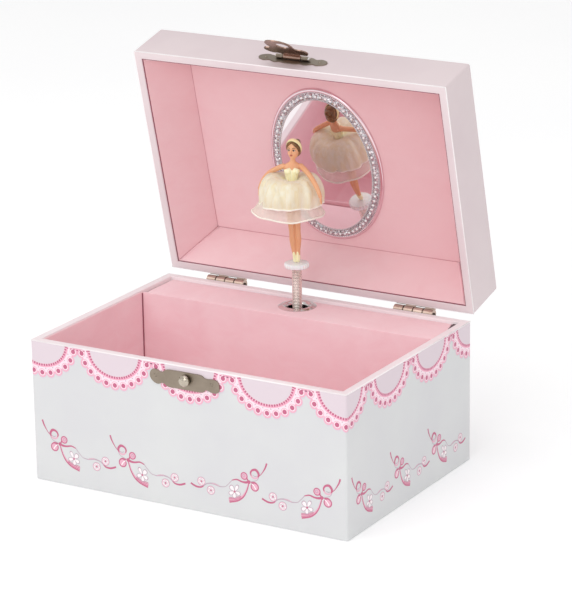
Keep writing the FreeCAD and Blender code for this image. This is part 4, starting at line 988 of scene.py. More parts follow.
def glitter():
    m = Mat("glitter_silver")
    co = m.coords()
    v = m.n("ShaderNodeTexVoronoi")
    v.inputs["Scale"].default_value = 1500.0
    m.l(co, v.inputs["Vector"])
    v2 = m.n("ShaderNodeTexVoronoi")
    v2.inputs["Scale"].default_value = 3100.0
    m.l(co, v2.inputs["Vector"])
    geo = m.n("ShaderNodeNewGeometry")
    half = m.n("ShaderNodeVectorMath", operation="SUBTRACT")
    m.l(v.outputs["Color"], half.inputs[0])
    half.inputs[1].default_value = (0.5, 0.5, 0.5)
    sc = m.n("ShaderNodeVectorMath", operation="SCALE")
    m.l(half.outputs[0], sc.inputs[0])
    sc.inputs["Scale"].default_value = 0.9
    add = m.n("ShaderNodeVectorMath", operation="ADD")
    m.l(geo.outputs["Normal"], add.inputs[0])
    m.l(sc.outputs[0], add.inputs[1])
    nn = m.n("ShaderNodeVectorMath", operation="NORMALIZE")
    m.l(add.outputs[0], nn.inputs[0])
    m.l(nn.outputs[0], m.b.inputs["Normal"])
    sep = m.n("ShaderNodeSeparateColor")
    m.l(v2.outputs["Color"], sep.inputs[0])
    m.color(m.ramp(sep.outputs[0], [(0.0, srgb("#8E8A8F")), (0.35, srgb("#B4B0B4")), (0.75, srgb("#CFCCD0")), (1.0, srgb("#F4F3F5"))]))
    m.set(Metallic=0.9, Roughness=0.16)
    return m.m


M_GLITTER = glitter()


def oval_pt(inset, t):
    """Point inset from the frame's outer edge at angle t."""
    a, b = 32.9, 43.8
    x, y = a * math.cos(t), b * math.sin(t)
    nx, ny = math.cos(t) / a, math.sin(t) / b
    L = math.hypot(nx, ny)
    return MX + x - nx / L * inset, MY + y - ny / L * inset


def oval_ring(prof, name, mats, mi, n=200):
    verts, faces, fm = [], [], []
    k = len(prof)
    for i in range(n):
        t = 2 * math.pi * i / n
        for d, h in prof:
            x, y = oval_pt(d, t)
            verts.append((x, y, PZ - h))
    for i in range(n):
        i2 = (i + 1) % n
        for j in range(k):
            j2 = (j + 1) % k
            faces.append((i * k + j, i * k + j2, i2 * k + j2, i2 * k + j))
            fm.append(mi[j])
    o = new_obj(name, verts, faces, mats, "lid", move=lid_pt, fmat=fm)
    fix_normals(o)
    smooth_by_angle(o, 38)
    return o


prof = [(0.0, 0.02), (0.0, 0.35), (0.18, 0.8), (0.6, 1.15), (1.2, 1.3), (1.7, 1.25), (1.95, 1.05), (2.1, 1.0), (2.25, 1.35), (2.7, 1.75), (3.4, 2.02), (4.1, 2.1), (4.8, 2.02), (5.45, 1.75), (5.75, 1.4), (6.2, 1.36), (6.2, 0.02)]
mi = [0, 0, 0, 0, 0, 0, 0, 0, 1, 1, 1, 1, 1, 1, 0, 0, 0]
frame_ring = oval_ring(prof, "mirror_surround", [M_CHROME, M_GLITTER], mi)
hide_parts("mirror_frame")


def oval_steps(inset, pitch):
    ts = np.linspace(0, 2 * math.pi, 4001)
    P = np.array([oval_pt(inset, t) for t in ts])
    L = np.concatenate([[0], np.cumsum(np.linalg.norm(np.diff(P, axis=0), axis=1))])
    n = int(round(L[-1] / pitch))
    return [float(np.interp(L[-1] * i / n, L, ts)) for i in range(n)]


def ico(subdiv):
    bm = bmesh.new()
    bmesh.ops.create_icosphere(bm, subdivisions=subdiv, radius=1.0)
    v = [tuple(x.co) for x in bm.verts]
    f = [tuple(x.index for x in q.verts) for q in bm.faces]
    bm.free()
    return v, f


def beads(name, inset, pitch, size, height, mat, twist, sub=1):
    sv, sf = ico(sub)
    verts, faces = [], []
    for t in oval_steps(inset, pitch):
        x, y = oval_pt(inset, t)
        x2, y2 = oval_pt(inset, t + 0.001)
        tx, ty = x2 - x, y2 - y
        L = math.hypot(tx, ty)
        tx, ty = tx / L, ty / L
        nx, ny = ty, -tx
        c_, s_ = math.cos(twist), math.sin(twist)
        ax1, ay1 = tx * c_ + nx * s_, ty * c_ + ny * s_
        ax2, ay2 = -tx * s_ + nx * c_, -ty * s_ + ny * c_
        b = len(verts)
        for vx, vy, vz in sv:
            verts.append((x + ax1 * vx * size[0] + ax2 * vy * size[1], y + ay1 * vx * size[0] + ay2 * vy * size[1], PZ - height - vz * size[2]))
        faces += [tuple(b + i for i in q) for q in sf]
    o = new_obj(name, verts, faces, mat, "lid", move=lid_pt, smooth=True)
    fix_normals(o)
    return o


beads("mirror_dots", 3.9, 2.85, (0.66, 0.66, 0.45), 2.12, M_PEARL, 0.0, 2)
beads("mirror_rope_inner", 5.95, 1.05, (0.85, 0.36, 0.42), 1.42, M_ROPE, math.radians(38), 2)
beads("mirror_rope_outer", 2.15, 1.15, (0.8, 0.3, 0.36), 1.15, M_ROPE, math.radians(-38), 2)

# ------------------------------------------------------------------ dancer's spring, disc
def helix():
    wire, R, z0, z1, turns = 0.42, 2.2, 66.2, 93.25, 32
    n, k = turns * 26, 8
    verts, faces = [], []
    for i in range(n + 1):
        a = 2 * math.pi * i / 26
        z = z0 + wire + (z1 - z0 - 2 * wire) * i / n
        for j in range(k):
            b = 2 * math.pi * j / k
            rr = R + wire * math.cos(b)
            verts.append((AX + rr * math.cos(a), AY + rr * math.sin(a), z + wire * math.sin(b)))
    for i in range(n):
        for j in range(k):
            j2 = (j + 1) % k
            faces.append((i * k + j, i * k + j2, (i + 1) * k + j2, (i + 1) * k + j))
    faces.append(tuple(range(k)))
    faces.append(tuple(n * k + j for j in range(k))[::-1])
    o = new_obj("dancer_spring_coil", verts, faces, M_SPRING, "base", smooth=True, ride=False)
    fix_normals(o)
    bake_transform(o)
    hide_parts("dancer_spring")
    return o


helix()


def fluted_disc():
    prof = [(0.0, 93.52), (5.3, 93.52), (5.85, 93.62), (6.25, 93.9), (6.42, 94.3), (6.42, 95.55), (6.3, 95.95), (6.05, 96.2), (5.6, 96.28), (4.9, 96.2), (4.5, 96.3), (3.8, 96.34), (0.0, 96.34)]
    n = 144
    verts, faces = [], []
    for i in range(n):
        a = 2 * math.pi * i / n
        for r, z in prof[1:-1]:
            fl = 0.34 * (0.5 - 0.5 * math.cos(24 * a)) ** 0.7 if r > 5.7 else 0.0
            verts.append((AX + (r - fl) * math.cos(a), AY + (r - fl) * math.sin(a), z))
    k = len(prof) - 2
    for i in range(n):
        i2 = (i + 1) % n
        for j in range(k - 1):
            faces.append((i * k + j, i2 * k + j, i2 * k + j + 1, i * k + j + 1))
    faces.append(tuple(i * k for i in range(n))[::-1])
    faces.append(tuple(i * k + k - 1 for i in range(n)))
    o = new_obj("dancer_disc_fluted", verts, faces, M_WHITEPL, "dancer")
    fix_normals(o)
    smooth_by_angle(o, 40)
    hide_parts("dancer_disc")


fluted_disc()


def hinge_gap_shade():
    """Painted shade: dark rings fill the gaps between the knuckles of both hinges."""
    verts, faces = [], []
    n = 40
    for xc in (HINGE_L, HINGE_R):
        for k in (-5.65, 0.0, 5.65):
            for x, r in ((-0.34, 2.2), (-0.34, 2.69), (0.34, 2.69), (0.34, 2.2)):
                for q in range(n):
                    w = 2 * math.pi * q / n
                    verts.append((xc + k + x, HY + r * math.cos(w), HZ + r * math.sin(w)))
            b = len(verts) - 4 * n
            for j in range(4):
                j2 = (j + 1) % 4
                for q in range(n):
                    q2 = (q + 1) % n
                    faces.append((b + j * n + q, b + j * n + q2, b + j2 * n + q2, b + j2 * n + q))
    o = new_obj("hinge_gap_painted_shade", verts, faces, M_PIN_AND_GAP_SHADE, "base", smooth=False)
    fix_normals(o)


hinge_gap_shade()

# ------------------------------------------------------------------ the dancer
TH = math.radians(30.5)
TC, TS = math.cos(TH), math.sin(TH)


def doll(p):
    """Sideways, forward and up in the dancer's own frame, to the row frame in mm."""
    a, f, z = p
    return (AX + a * TC + f * TS, AY + a * TS - f * TC, z)


def tube_rings(pts, radii, n=16, flat=None, up=(0, 0, 1)):
    """A closed tube through points, with a radius at each; flat squeezes it along up."""
    P = np.array(pts, float)
    K = len(P)
    steps = np.linspace(0, K - 1, (K - 1) * 5 + 1)
    C = np.array([catmull(P, t) for t in steps])
    R = np.interp(steps, range(K), radii)
    T = np.gradient(C, axis=0)
    T /= np.linalg.norm(T, axis=1)[:, None]
    verts, faces = [], []
    ref = np.array(up, float)
    s1 = np.cross(ref, T[0])
    if np.linalg.norm(s1) < 0.3:
        s1 = np.cross(np.array([0.3, 1.0, 0]), T[0])
    for c, r, t in zip(C, R, T):
        s1 = s1 - t * np.dot(s1, t)
        s1 /= np.linalg.norm(s1)
        s2 = np.cross(t, s1)
        k = flat or 1.0
        for i in range(n):
            a = 2 * math.pi * i / n
            verts.append(tuple(c + s1 * r * math.cos(a) + s2 * r * k * math.sin(a)))
    m = len(C)
    for i in range(m - 1):
        for j in range(n):
            j2 = (j + 1) % n
            faces.append((i * n + j, i * n + j2, (i + 1) * n + j2, (i + 1) * n + j))
    for i, sgn in ((0, -1), (m - 1, 1)):
        b = len(verts)
        verts.append(tuple(C[i] + T[i] * sgn * R[i] * 0.7))
        for j in range(n):
            j2 = (j + 1) % n
            faces.append((i * n + j, i * n + j2, b) if sgn > 0 else (i * n + j2, i * n + j, b))
    return verts, faces


def head_ball(c, r, sub=3):
    return ellipsoid(c, tuple(q * HS for q in r), sub, HR, HF, HU)


def ellipsoid(c, r, sub=3, ax1=(1, 0, 0), ax2=(0, 1, 0), ax3=(0, 0, 1)):
    v, f = ico(sub)
    A, B, D = np.array(ax1), np.array(ax2), np.array(ax3)
    return [tuple(np.array(c) + A * x * r[0] + B * y * r[1] + D * z * r[2]) for x, y, z in v], list(f)


def joined(name, parts, mat, body, move=doll, voxel=None, smooth=4, factor=0.5, decim=None, ride=True):
    verts, faces = [], []
    for v, f in parts:
        b = len(verts)
        verts += v
        faces += [tuple(i + b for i in q) for q in f]
    me = bpy.data.meshes.new(name)
    me.from_pydata([move(v) for v in verts], [], faces)
    o = bpy.data.objects.new(name, me)
    bpy.context.scene.collection.objects.link(o)
    fix_normals(o)
    if voxel:
        modify(o, "REMESH", mode="VOXEL", voxel_size=voxel)
        if smooth:
            modify(o, "SMOOTH", iterations=smooth, factor=factor)
        if decim:
            modify(o, "DECIMATE", ratio=decim)
        apply_mods(o)
    o.data.transform(Matrix.Scale(MM, 4))
    o.data.materials.clear()
    o.data.materials.append(mat)
    o.data.polygons.foreach_set("use_smooth", [True] * len(o.data.polygons))
    o.data.update()
    if ride:
        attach(o, body)
    return o


M_SKIN = plastic("skin_plastic", "#EDB489", "#E09F72", 0.38, 0.12, 0.00001, 500.0)
M_SHOE = plastic("shoe_yellow", "#FFF6CC", "#F6E8B2", 0.35, 0.1)
M_BAND2 = plastic("headband_yellow", "#FFF0B8", "#F5DE96", 0.35, 0.1)
M_LIPS = plastic("lip_paint", "#BF5A54", "#A94A47", 0.35)
M_EYE = plastic("eye_paint", "#33231D", "#1F1512", 0.3)
M_EYEW = plastic("eye_white", "#F3EBE4", "#E8DDD4", 0.3)


def hair_mat():
    m = Mat("hair_plastic")
    st = m.noise(420.0, 5.0, 0.7, m.coords((1.0, 1.0, 0.25)), 1.5)
    m.color(m.ramp(st, [(0.25, srgb("#442C1A")), (0.5, srgb("#7C5833")), (0.75, srgb("#AD8048"))]))
    m.rough(m.map(st, 0.28, 0.5))
    m.bump(st, 0.00018, 0.9)
    return m.m


def bodice_mat():
    m = Mat("bodice_satin")
    w = m.n("ShaderNodeTexWave")
    w.inputs["Scale"].default_value = 240.0
    w.inputs["Distortion"].default_value = 3.0
    m.l(m.coords((1, 1, 0.2)), w.inputs["Vector"])
    n_ = m.noise(600.0, 4.0)
    m.color(m.mix(m.map(w.outputs["Fac"], 0.0, 0.5), srgb("#FFFCD8"), srgb("#FDF1B4")))
    m.rough(m.map(n_, 0.4, 0.6))
    m.set(Sheen_Weight=0.3, Sheen_Roughness=0.4)
    m.bump(m.math("ADD", w.outputs["Fac"], n_), 0.00012, 0.7)
    return m.m


def organza(name, col, dark, opacity, weave=2600.0, glow=0.22):
    """Sheer cloth: light passes between the threads; folds and hems read denser."""
    m = Mat(name)
    a = m.n("ShaderNodeTexWave")
    a.inputs["Scale"].default_value = weave
    m.l(m.coords((1, 1, 0)), a.inputs["Vector"])
    z = m.noise(weave * 0.6, 2.0)
    cloud = m.noise(160.0, 3.0)
    fold = m.noise(420.0, 4.0, 0.62, m.coords((1, 1, 0.22)), 0.8)
    # painted shade: streaks of the darker cream, stretched up and down, stand in for the shade in the skirt's folds;
    # the same noise also bumps the cloth
    m.color(m.mix(m.map(fold, 0.0, 0.75, 0.35, 0.7), srgb(col), srgb(dark)))
    m.set(Roughness=0.62, Sheen_Weight=0.35, Sheen_Roughness=0.35)
    m.bump(m.math("ADD", fold, m.math("MULTIPLY", z, 0.2)), 0.0007, 0.9)
    tl = m.n("ShaderNodeBsdfTranslucent")
    tl.inputs[0].default_value = (*srgb(col), 1)
    m1 = m.n("ShaderNodeMixShader")
    m1.inputs[0].default_value = glow
    m.l(m.b.outputs[0], m1.inputs[1])
    m.l(tl.outputs[0], m1.inputs[2])
    tr = m.n("ShaderNodeBsdfTransparent")
    tr.inputs[0].default_value = (1, 1, 1, 1)
    m2 = m.n("ShaderNodeMixShader")
    lw = m.n("ShaderNodeLayerWeight")
    lw.inputs["Blend"].default_value = 0.35
    op = m.math("ADD", m.map(cloud, opacity - 0.07, opacity + 0.07, 0.3, 0.7), m.math("MULTIPLY", lw.outputs["Facing"], 0.35))
    op = m.math("MINIMUM", op, 1.0)
    m.l(op, m2.inputs[0])
    m.l(tr.outputs[0], m2.inputs[1])
    m.l(m1.outputs[0], m2.inputs[2])
    m.l(m2.outputs[0], m.out.inputs[0])
    return m.m


M_HAIR = hair_mat()
M_BODICE = bodice_mat()
M_ORG_UP = organza("organza_cream", "#FFFBE8", "#F5E4B2", 0.975, glow=0.14)
M_ORG_LOW = organza("organza_sheer", "#FFF8EE", "#F6ECDC", 0.36)
M_HEM = plastic("hem_satin", "#FFFDF4", "#FBF2DC", 0.5, 0.0, 0.00006, 2400.0)


def lean(z):
    """How far the figure stands to its right of the axis at a height."""
    return float(np.interp(z, [95, 100, 112, 118, 131, 141, 147, 151, 156], [0.0, -0.15, -0.7, -1.0, -1.5, -1.9, -1.6, -1.1, -0.6]))


def L(a, f, z):
    return (a + lean(z), f, z)


def torso_parts():
    rows = [(129.5, 3.4, 3.0, 0.0), (131.5, 4.1, 3.4, -0.1), (134.5, 4.0, 3.2, -0.2), (137.5, 3.2, 2.5, 0.0), (140.3, 2.75, 2.15, 0.1), (142.8, 3.15, 2.4, 0.15), (145.2, 3.8, 2.6, 0.15), (146.9, 4.3, 2.3, 0.0), (148.2, 4.2, 1.8, -0.1), (149.1, 2.9, 1.55, -0.15), (149.8, 1.65, 1.4, -0.15), (150.8, 1.25, 1.25, 0.0), (152.8, 1.25, 1.3, 0.1)]
    n = 28
    verts, faces = [], []
    for z, ra, rf, cf in rows:
        for i in range(n):
            t = 2 * math.pi * i / n
            verts.append((lean(z) + ra * math.cos(t), cf + rf * math.sin(t), z))
    for i in range(len(rows) - 1):
        for j in range(n):
            j2 = (j + 1) % n
            faces.append((i * n + j, i * n + j2, (i + 1) * n + j2, (i + 1) * n + j))
    faces.append(tuple(range(n))[::-1])
    faces.append(tuple(range((len(rows) - 1) * n, len(rows) * n)))
    out = [(verts, faces)]
    for sgn in (-1, 1):
        out.append(ellipsoid(L(sgn * 1.95, 1.45, 145.3), (1.95, 1.95, 1.8)))
        out.append(ellipsoid(L(sgn * 4.5, -0.1, 147.5), (1.5, 1.4, 1.35)))
    return out


ARM_L = [(-5.9, -0.1, 147.6), (-9.2, -3.2, 145.5), (-12.8, -6.0, 142.9), (-15.7, -6.4, 139.8), (-17.5, -4.6, 137.0), (-18.4, -3.0, 134.8)]
ARM_R = [(2.8, 0.2, 147.6), (4.9, 3.4, 146.3), (7.6, 8.0, 144.1), (10.3, 11.6, 140.1), (11.8, 13.1, 136.8), (12.6, 13.5, 134.4)]
H = np.array([lean(156) , 0.35, 156.2])
TURN = math.radians(-24)
HF = np.array([math.sin(TURN), math.cos(TURN), 0.0])
HR = np.array([math.cos(TURN), -math.sin(TURN), 0.0])
HU = np.array([0.0, 0.0, 1.0])


HS = 1.07


def hp(x, y, z):
    """A point in the head's frame: to its left, forward, up from its centre."""
    return tuple(H + (HR * x + HF * y + HU * z) * HS)


def figure():
    parts = torso_parts()
    parts.append(tube_rings(ARM_L, [1.4, 1.35, 1.25, 1.2, 1.08, 0.9]))
    parts.append(tube_rings(ARM_R, [1.45, 1.38, 1.28, 1.22, 1.1, 0.9]))
    # hands: palm, fingers together, thumb
    for (a, f, z), d in ((ARM_L[-1], -1), (ARM_R[-1], 1)):
        parts.append(ellipsoid((a + d * 0.15, f, z - 1.0), (0.62, 1.0, 1.35), 2))
        parts.append(ellipsoid((a + d * 0.35, f - 0.15, z - 2.5), (0.5, 0.85, 1.35), 2))
        parts.append(ellipsoid((a - d * 0.1, f + 0.95, z - 1.5), (0.38, 0.38, 1.0), 2))
    # legs together, on the points of the feet
    for s_ in (-1, 1):
        pts = [(lean(132) + s_ * 2.0, 0.0, 132.5), (lean(124) + s_ * 1.95, 0.1, 124.5), (lean(116) + s_ * 1.62, 0.3, 116.2), (lean(111) + s_ * 1.5, 0.15, 112.6), (lean(107) + s_ * 1.5, -0.25, 108.4), (lean(103) + s_ * 1.15, -0.2, 103.4), (s_ * 0.95, 0.1, 100.2), (s_ * 0.82, 0.45, 98.0), (s_ * 0.75, 0.5, 97.2)]
        parts.append(tube_rings(pts, [2.1, 1.95, 1.58, 1.48, 1.6, 1.22, 0.92, 0.85, 0.6], 18))
    # head
    e = [HR, HF, HU]
    parts.append(head_ball(hp(0, -0.15, 0.9), (3.05, 3.45, 3.75), 4))
    parts.append(head_ball(hp(0, 0.55, -1.1), (2.55, 2.75, 3.2), 4))
    parts.append(head_ball(hp(0, 1.55, -3.3), (1.25, 1.35, 1.15), 3))
    for s_ in (-1, 1):
        parts.append(head_ball(hp(s_ * 1.35, 1.75, -1.5), (1.05, 1.0, 1.0), 3))
        parts.append(head_ball(hp(s_ * 3.0, -0.4, -0.4), (0.35, 0.6, 0.85), 2))
    parts.append(tube_rings([hp(0, 2.95, 0.7), hp(0, 3.35, -0.3), hp(0, 3.75, -1.1)], [0.34, 0.4, 0.46], 12))
    parts.append(head_ball(hp(0, 3.0, -2.2), (0.8, 0.45, 0.45), 2))
    return joined("dancer_figure", parts, M_SKIN, "dancer", voxel=0.15, smooth=5, factor=0.5, decim=0.35, ride=False)


fig = figure()
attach(fig, "dancer")
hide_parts("dancer_legs", "dancer_torso", "dancer_head", "dancer_arms")

from mathutils.bvhtree import BVHTree


def bvh_of(o, inv=True):
    me = o.data
    return BVHTree.FromPolygons([tuple(v.co) for v in me.vertices], [tuple(p.vertices) for p in me.polygons])


BV = bvh_of(fig)


def on_face(x, z):
    """The skin's surface in front of the head at x, z, in the doll's frame."""
    src = Vector(doll(hp(x, 9.0, z))) * MM
    d = Vector(doll(hp(x, 0.0, z))) * MM - src
    loc, nrm, idx, dist = BV.ray_cast(src, d.normalized(), 0.02)
    w = np.array(loc) / MM
    dx, dy = w[0] - AX, w[1] - AY
    return np.array([dx * TC + dy * TS, dx * TS - dy * TC, w[2]])


def paint(name, pts, radii, mat, flat=0.35, lift=0.03):
    P = [on_face(x, z) + HF * lift for x, z in pts]
    v, f = tube_rings([tuple(p) for p in P], radii, 10)
    return v, f


def features():
    eyes_w, eyes_d, brows, lips = [], [], [], []
    for s_ in (-1, 1):
        c = on_face(s_ * 1.22, 0.15)
        eyes_w.append(ellipsoid(tuple(c - HF * 0.02), (0.62, 0.14, 0.36), 3, HR, HF, HU))
        c2 = on_face(s_ * 1.2, 0.15)
        eyes_d.append(ellipsoid(tuple(c2 + HF * 0.06), (0.42, 0.13, 0.38), 3, HR, HF, HU))
        eyes_d.append(paint("lash", [(s_ * 0.6, 0.32), (s_ * 1.2, 0.58), (s_ * 1.95, 0.36)], [0.09, 0.18, 0.1], M_EYE))
        brows.append(paint("brow", [(s_ * 0.55, 1.05), (s_ * 1.25, 1.42), (s_ * 2.1, 1.1)], [0.12, 0.18, 0.09], M_EYE))
    lips.append(paint("lip_up", [(-0.72, -2.05), (-0.3, -1.9), (0, -1.98), (0.3, -1.9), (0.72, -2.05)], [0.1, 0.22, 0.19, 0.22, 0.1], M_LIPS))
    lips.append(paint("lip_low", [(-0.55, -2.22), (0, -2.42), (0.55, -2.22)], [0.09, 0.22, 0.09], M_LIPS))
    for nme, parts, mat in (("face_eyes_white", eyes_w, M_EYEW), ("face_eyes_dark", eyes_d, M_EYE), ("face_brows", brows, M_HAIR), ("face_lips", lips, M_LIPS)):
        o = joined(nme, parts, mat, "dancer")


features()


def hair():
    e = [HR, HF, HU]
    parts = [
        head_ball(hp(0, -0.7, 1.2), (3.4, 3.72, 3.8), 4),
        head_ball(hp(0, -1.55, -0.9), (3.1, 2.7, 3.1), 4),
    ]
    # side sweeps from the parting down over the ears
    for s_ in (-1, 1):
        parts.append(tube_rings([hp(s_ * 0.3, 2.2, 4.0), hp(s_ * 1.7, 2.35, 3.0), hp(s_ * 2.75, 1.35, 1.5), hp(s_ * 3.1, 0.1, -0.1), hp(s_ * 2.6, -1.3, -1.4)], [0.55, 0.75, 0.7, 0.62, 0.5], 12))
    cap = joined("dancer_hair_cap", parts, M_HAIR, "dancer", voxel=0.16, smooth=3, decim=0.4)
    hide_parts("dancer_hair")
    # bun: a coil over a ball
    bc = np.array(hp(0.2, -3.6, 2.9))
    bparts = [ellipsoid(tuple(bc), (1.75, 1.75, 1.6), 3, *e)]
    coil = []
    rad = []
    n = 40
    for i in range(n + 1):
        t = i / n
        a = 2 * math.pi * 2.3 * t
        r = 1.75 * (1 - 0.75 * t)
        h = -0.55 + 1.75 * t
        coil.append(tuple(bc + HR * r * math.cos(a) - HF * h * 0.72 + HU * (h * 0.55) + (HF * 0.55 + HU * 0.83) * r * math.sin(a)))
        rad.append(0.5 * (1 - 0.3 * t))
    bparts.append(tube_rings(coil, rad, 10))
    bun = joined("dancer_bun", bparts, M_HAIR, "dancer", voxel=0.16, smooth=2, decim=0.5)
    # headband over the crown
    tilt = math.radians(24)
    up2 = HU * math.cos(tilt) + HF * math.sin(tilt)
    nrm = HF * math.cos(tilt) - HU * math.sin(tilt)
    c0 = np.array(hp(0, -0.75, 1.1))
    k, n = 10, 64
    verts, faces = [], []
    for i in range(n + 1):
        a = math.radians(-38 + 256 * i / n)
        mid = c0 + HR * 3.72 * math.cos(a) + up2 * 4.42 * math.sin(a) + HF * 0.3
        out = HR * math.cos(a) / 3.5 + up2 * math.sin(a) / 4.15
        out = out / np.linalg.norm(out)
        wd = 1.15 * min(1.0, 0.45 + 1.6 * min(i, n - i) / n)
        for j in range(k):
            b = 2 * math.pi * j / k
            verts.append(tuple(mid + out * (0.18 + 0.3 * math.cos(b)) + nrm * wd * math.sin(b)))
    for i in range(n):
        for j in range(k):
            j2 = (j + 1) % k
            faces.append((i * k + j, i * k + j2, (i + 1) * k + j2, (i + 1) * k + j))
    faces.append(tuple(range(k))[::-1])
    faces.append(tuple(n * k + j for j in range(k)))
    hb = joined("dancer_headband", [(verts, faces)], M_BAND2, "dancer")


hair()


def shoes():
    parts = []
    for s_ in (-1, 1):
        pts = [(s_ * 0.72, 0.5, 96.9), (s_ * 0.8, 0.48, 97.9), (s_ * 0.88, 0.2, 99.2), (s_ * 0.95, 0.05, 100.3)]
        parts.append(tube_rings(pts, [0.85, 1.08, 1.1, 0.98], 18))
        # the upper rises to a point at the front of the ankle
        parts.append(tube_rings([(s_ * 0.9 - 0.15, 0.45, 99.0), (s_ * 0.95 - 0.3, 0.5, 101.0), (s_ * 1.0 - 0.35, 0.45, 102.9)], [0.95, 0.8, 0.3], 14))
    o = joined("dancer_shoes", parts, M_SHOE, "dancer", voxel=0.12, smooth=2, decim=0.4)


shoes()

# bodice: a fitted shell with a heart-shaped top edge
tors = joined("torso_probe", torso_parts(), M_SKIN, "dancer", voxel=0.18, smooth=6, ride=False)
BT = bvh_of(tors)
bpy.data.objects.remove(tors)


def torso_r(phi, z):
    src = Vector(doll((lean(z), 0.0, z))) * MM
    far = Vector(doll((lean(z) + math.sin(phi), math.cos(phi), z))) * MM
    loc, n_, i_, dist = BT.ray_cast(src, (far - src).normalized(), 0.02)
    return dist / MM


def bodice():
    n, m = 96, 18
    top = lambda p: float(np.interp(abs(p), np.radians([0, 9, 24, 42, 60, 90, 130, 180]), [145.7, 146.3, 147.15, 147.0, 146.3, 145.6, 145.2, 145.0]))
    verts, faces = [], []
    for i in range(n):
        p = -math.pi + 2 * math.pi * i / n
        zt = top(p)
        for j in range(m + 1):
            z = 139.6 + (zt - 139.6) * j / m
            pleat = 0.05 * math.cos(18 * p)
            r = torso_r(p, z) + 0.26 + pleat * (0.4 + 0.6 * j / m)
            verts.append((lean(z) + r * math.sin(p), r * math.cos(p), z))
        for j in range(m, -1, -1):
            z = 139.6 + (zt - 0.12 - 139.6) * j / m
            r = torso_r(p, z) + 0.02
            verts.append((lean(z) + r * math.sin(p), r * math.cos(p), z))
    k = 2 * (m + 1)
    for i in range(n):
        i2 = (i + 1) % n
        for j in range(k):
            j2 = (j + 1) % k
            faces.append((i * k + j, i2 * k + j, i2 * k + j2, i * k + j2))
    o = joined("dancer_bodice", [(verts, faces)], M_BODICE, "dancer")
    fix_normals(o)


bodice()


# ------------------------------------------------------------------ her skirt: two gathered layers
def skirt(name, prof, shift, amps, waves, hem_dip, mat, n=260, thick=0.10, spread=1.0, tip=0.0):
    """prof is radius and height from the waist to the hem; waves are count, phase, weight."""
    P = np.array(prof, float)
    m = 46
    t = np.linspace(0, len(P) - 1, m)
    C = np.array([catmull(P, x) for x in t])
    verts, faces = [], []
    for i in range(m):
        s_ = i / (m - 1)
        r0, z0 = C[i]
        for j in range(n):
            p = 2 * math.pi * j / n
            g = sum(w * math.cos(k * p + ph + 0.6 * math.sin(2 * p + ph)) for k, ph, w in waves)
            gather = 0.42 * math.cos(26 * p + 0.8 * math.sin(3 * p)) * math.exp(-s_ * 4.2)
            r = r0 * (1 + (amps[0] + (amps[1] - amps[0]) * s_ ** 1.3) * g) + gather * 0.6
            z = z0 + hem_dip * s_ ** 2 * sum(w * math.cos(k * p + ph + 1.1) for k, ph, w in waves[:2]) + 0.5 * amps[1] * r0 * g * (s_ * (1 - s_)) * 2
            # the hem flicks out to one side, and a drape falls from the waist in front
            flick = tip * max(0.0, s_ - 0.55) / 0.45 * max(0.0, math.cos(p - math.pi)) ** 6
            drape = math.exp(-((p - math.radians(112)) / 0.16) ** 2) * math.sin(math.pi * min(1.0, s_ * 1.25)) * (1.1 if tip == 0.0 else 0.0)
            side = math.exp(-((p - math.radians(112)) / 0.42) ** 2) * math.sin(math.pi * min(1.0, s_ * 1.25)) * (0.9 if tip == 0.0 else 0.0)
            r += flick + side - 2.6 * drape
            z += 0.45 * flick
            # fuller at the two sides, dipping in front and behind
            z += 0.8 * math.cos(2 * p) * math.sin(math.pi * min(1.0, s_ * 1.5)) * (1.0 if tip == 0.0 else 0.6)
            a = lean(141) * (1 - s_) + shift * s_ ** 0.8 + r * math.cos(p)
            f = r * math.sin(p) * spread
            verts.append((a, f, z))
    for i in range(m - 1):
        for j in range(n):
            j2 = (j + 1) % n
            faces.append((i * n + j, i * n + j2, (i + 1) * n + j2, (i + 1) * n + j))
    me = bpy.data.meshes.new(name)
    me.from_pydata([tuple(c * MM for c in doll(v)) for v in verts], [], faces)
    me.materials.append(mat)
    me.polygons.foreach_set("use_smooth", [True] * len(me.polygons))
    o = bpy.data.objects.new(name, me)
    bpy.context.scene.collection.objects.link(o)
    fix_normals(o)
    area_ = sum(p.area for p in o.data.polygons)
    hem = [verts[(m - 1) * n + j] for j in range(n)]
    modify(o, "SOLIDIFY", thickness=thick * MM, offset=0.0)
    apply_mods(o)
    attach(o, "dancer")
    # rolled hem
    k = 8
    hv, hf = [], []
    Hm = np.array(hem)
    T = np.roll(Hm, -1, 0) - np.roll(Hm, 1, 0)
    T /= np.linalg.norm(T, axis=1)[:, None]
    for c, tt in zip(Hm, T):
        s1 = np.cross([0, 0, 1.0], tt)
        s1 /= np.linalg.norm(s1)
        s2 = np.cross(tt, s1)
        for q in range(k):
            b = 2 * math.pi * q / k
            hv.append(tuple(c + s1 * 0.34 * math.cos(b) + s2 * 0.46 * math.sin(b)))
    for i in range(n):
        i2 = (i + 1) % n
        for q in range(k):
            q2 = (q + 1) % k
            hf.append((i * k + q, i * k + q2, i2 * k + q2, i2 * k + q))
    h = joined(name + "_hem", [(hv, hf)], M_HEM, "dancer")
    return o, h, area_


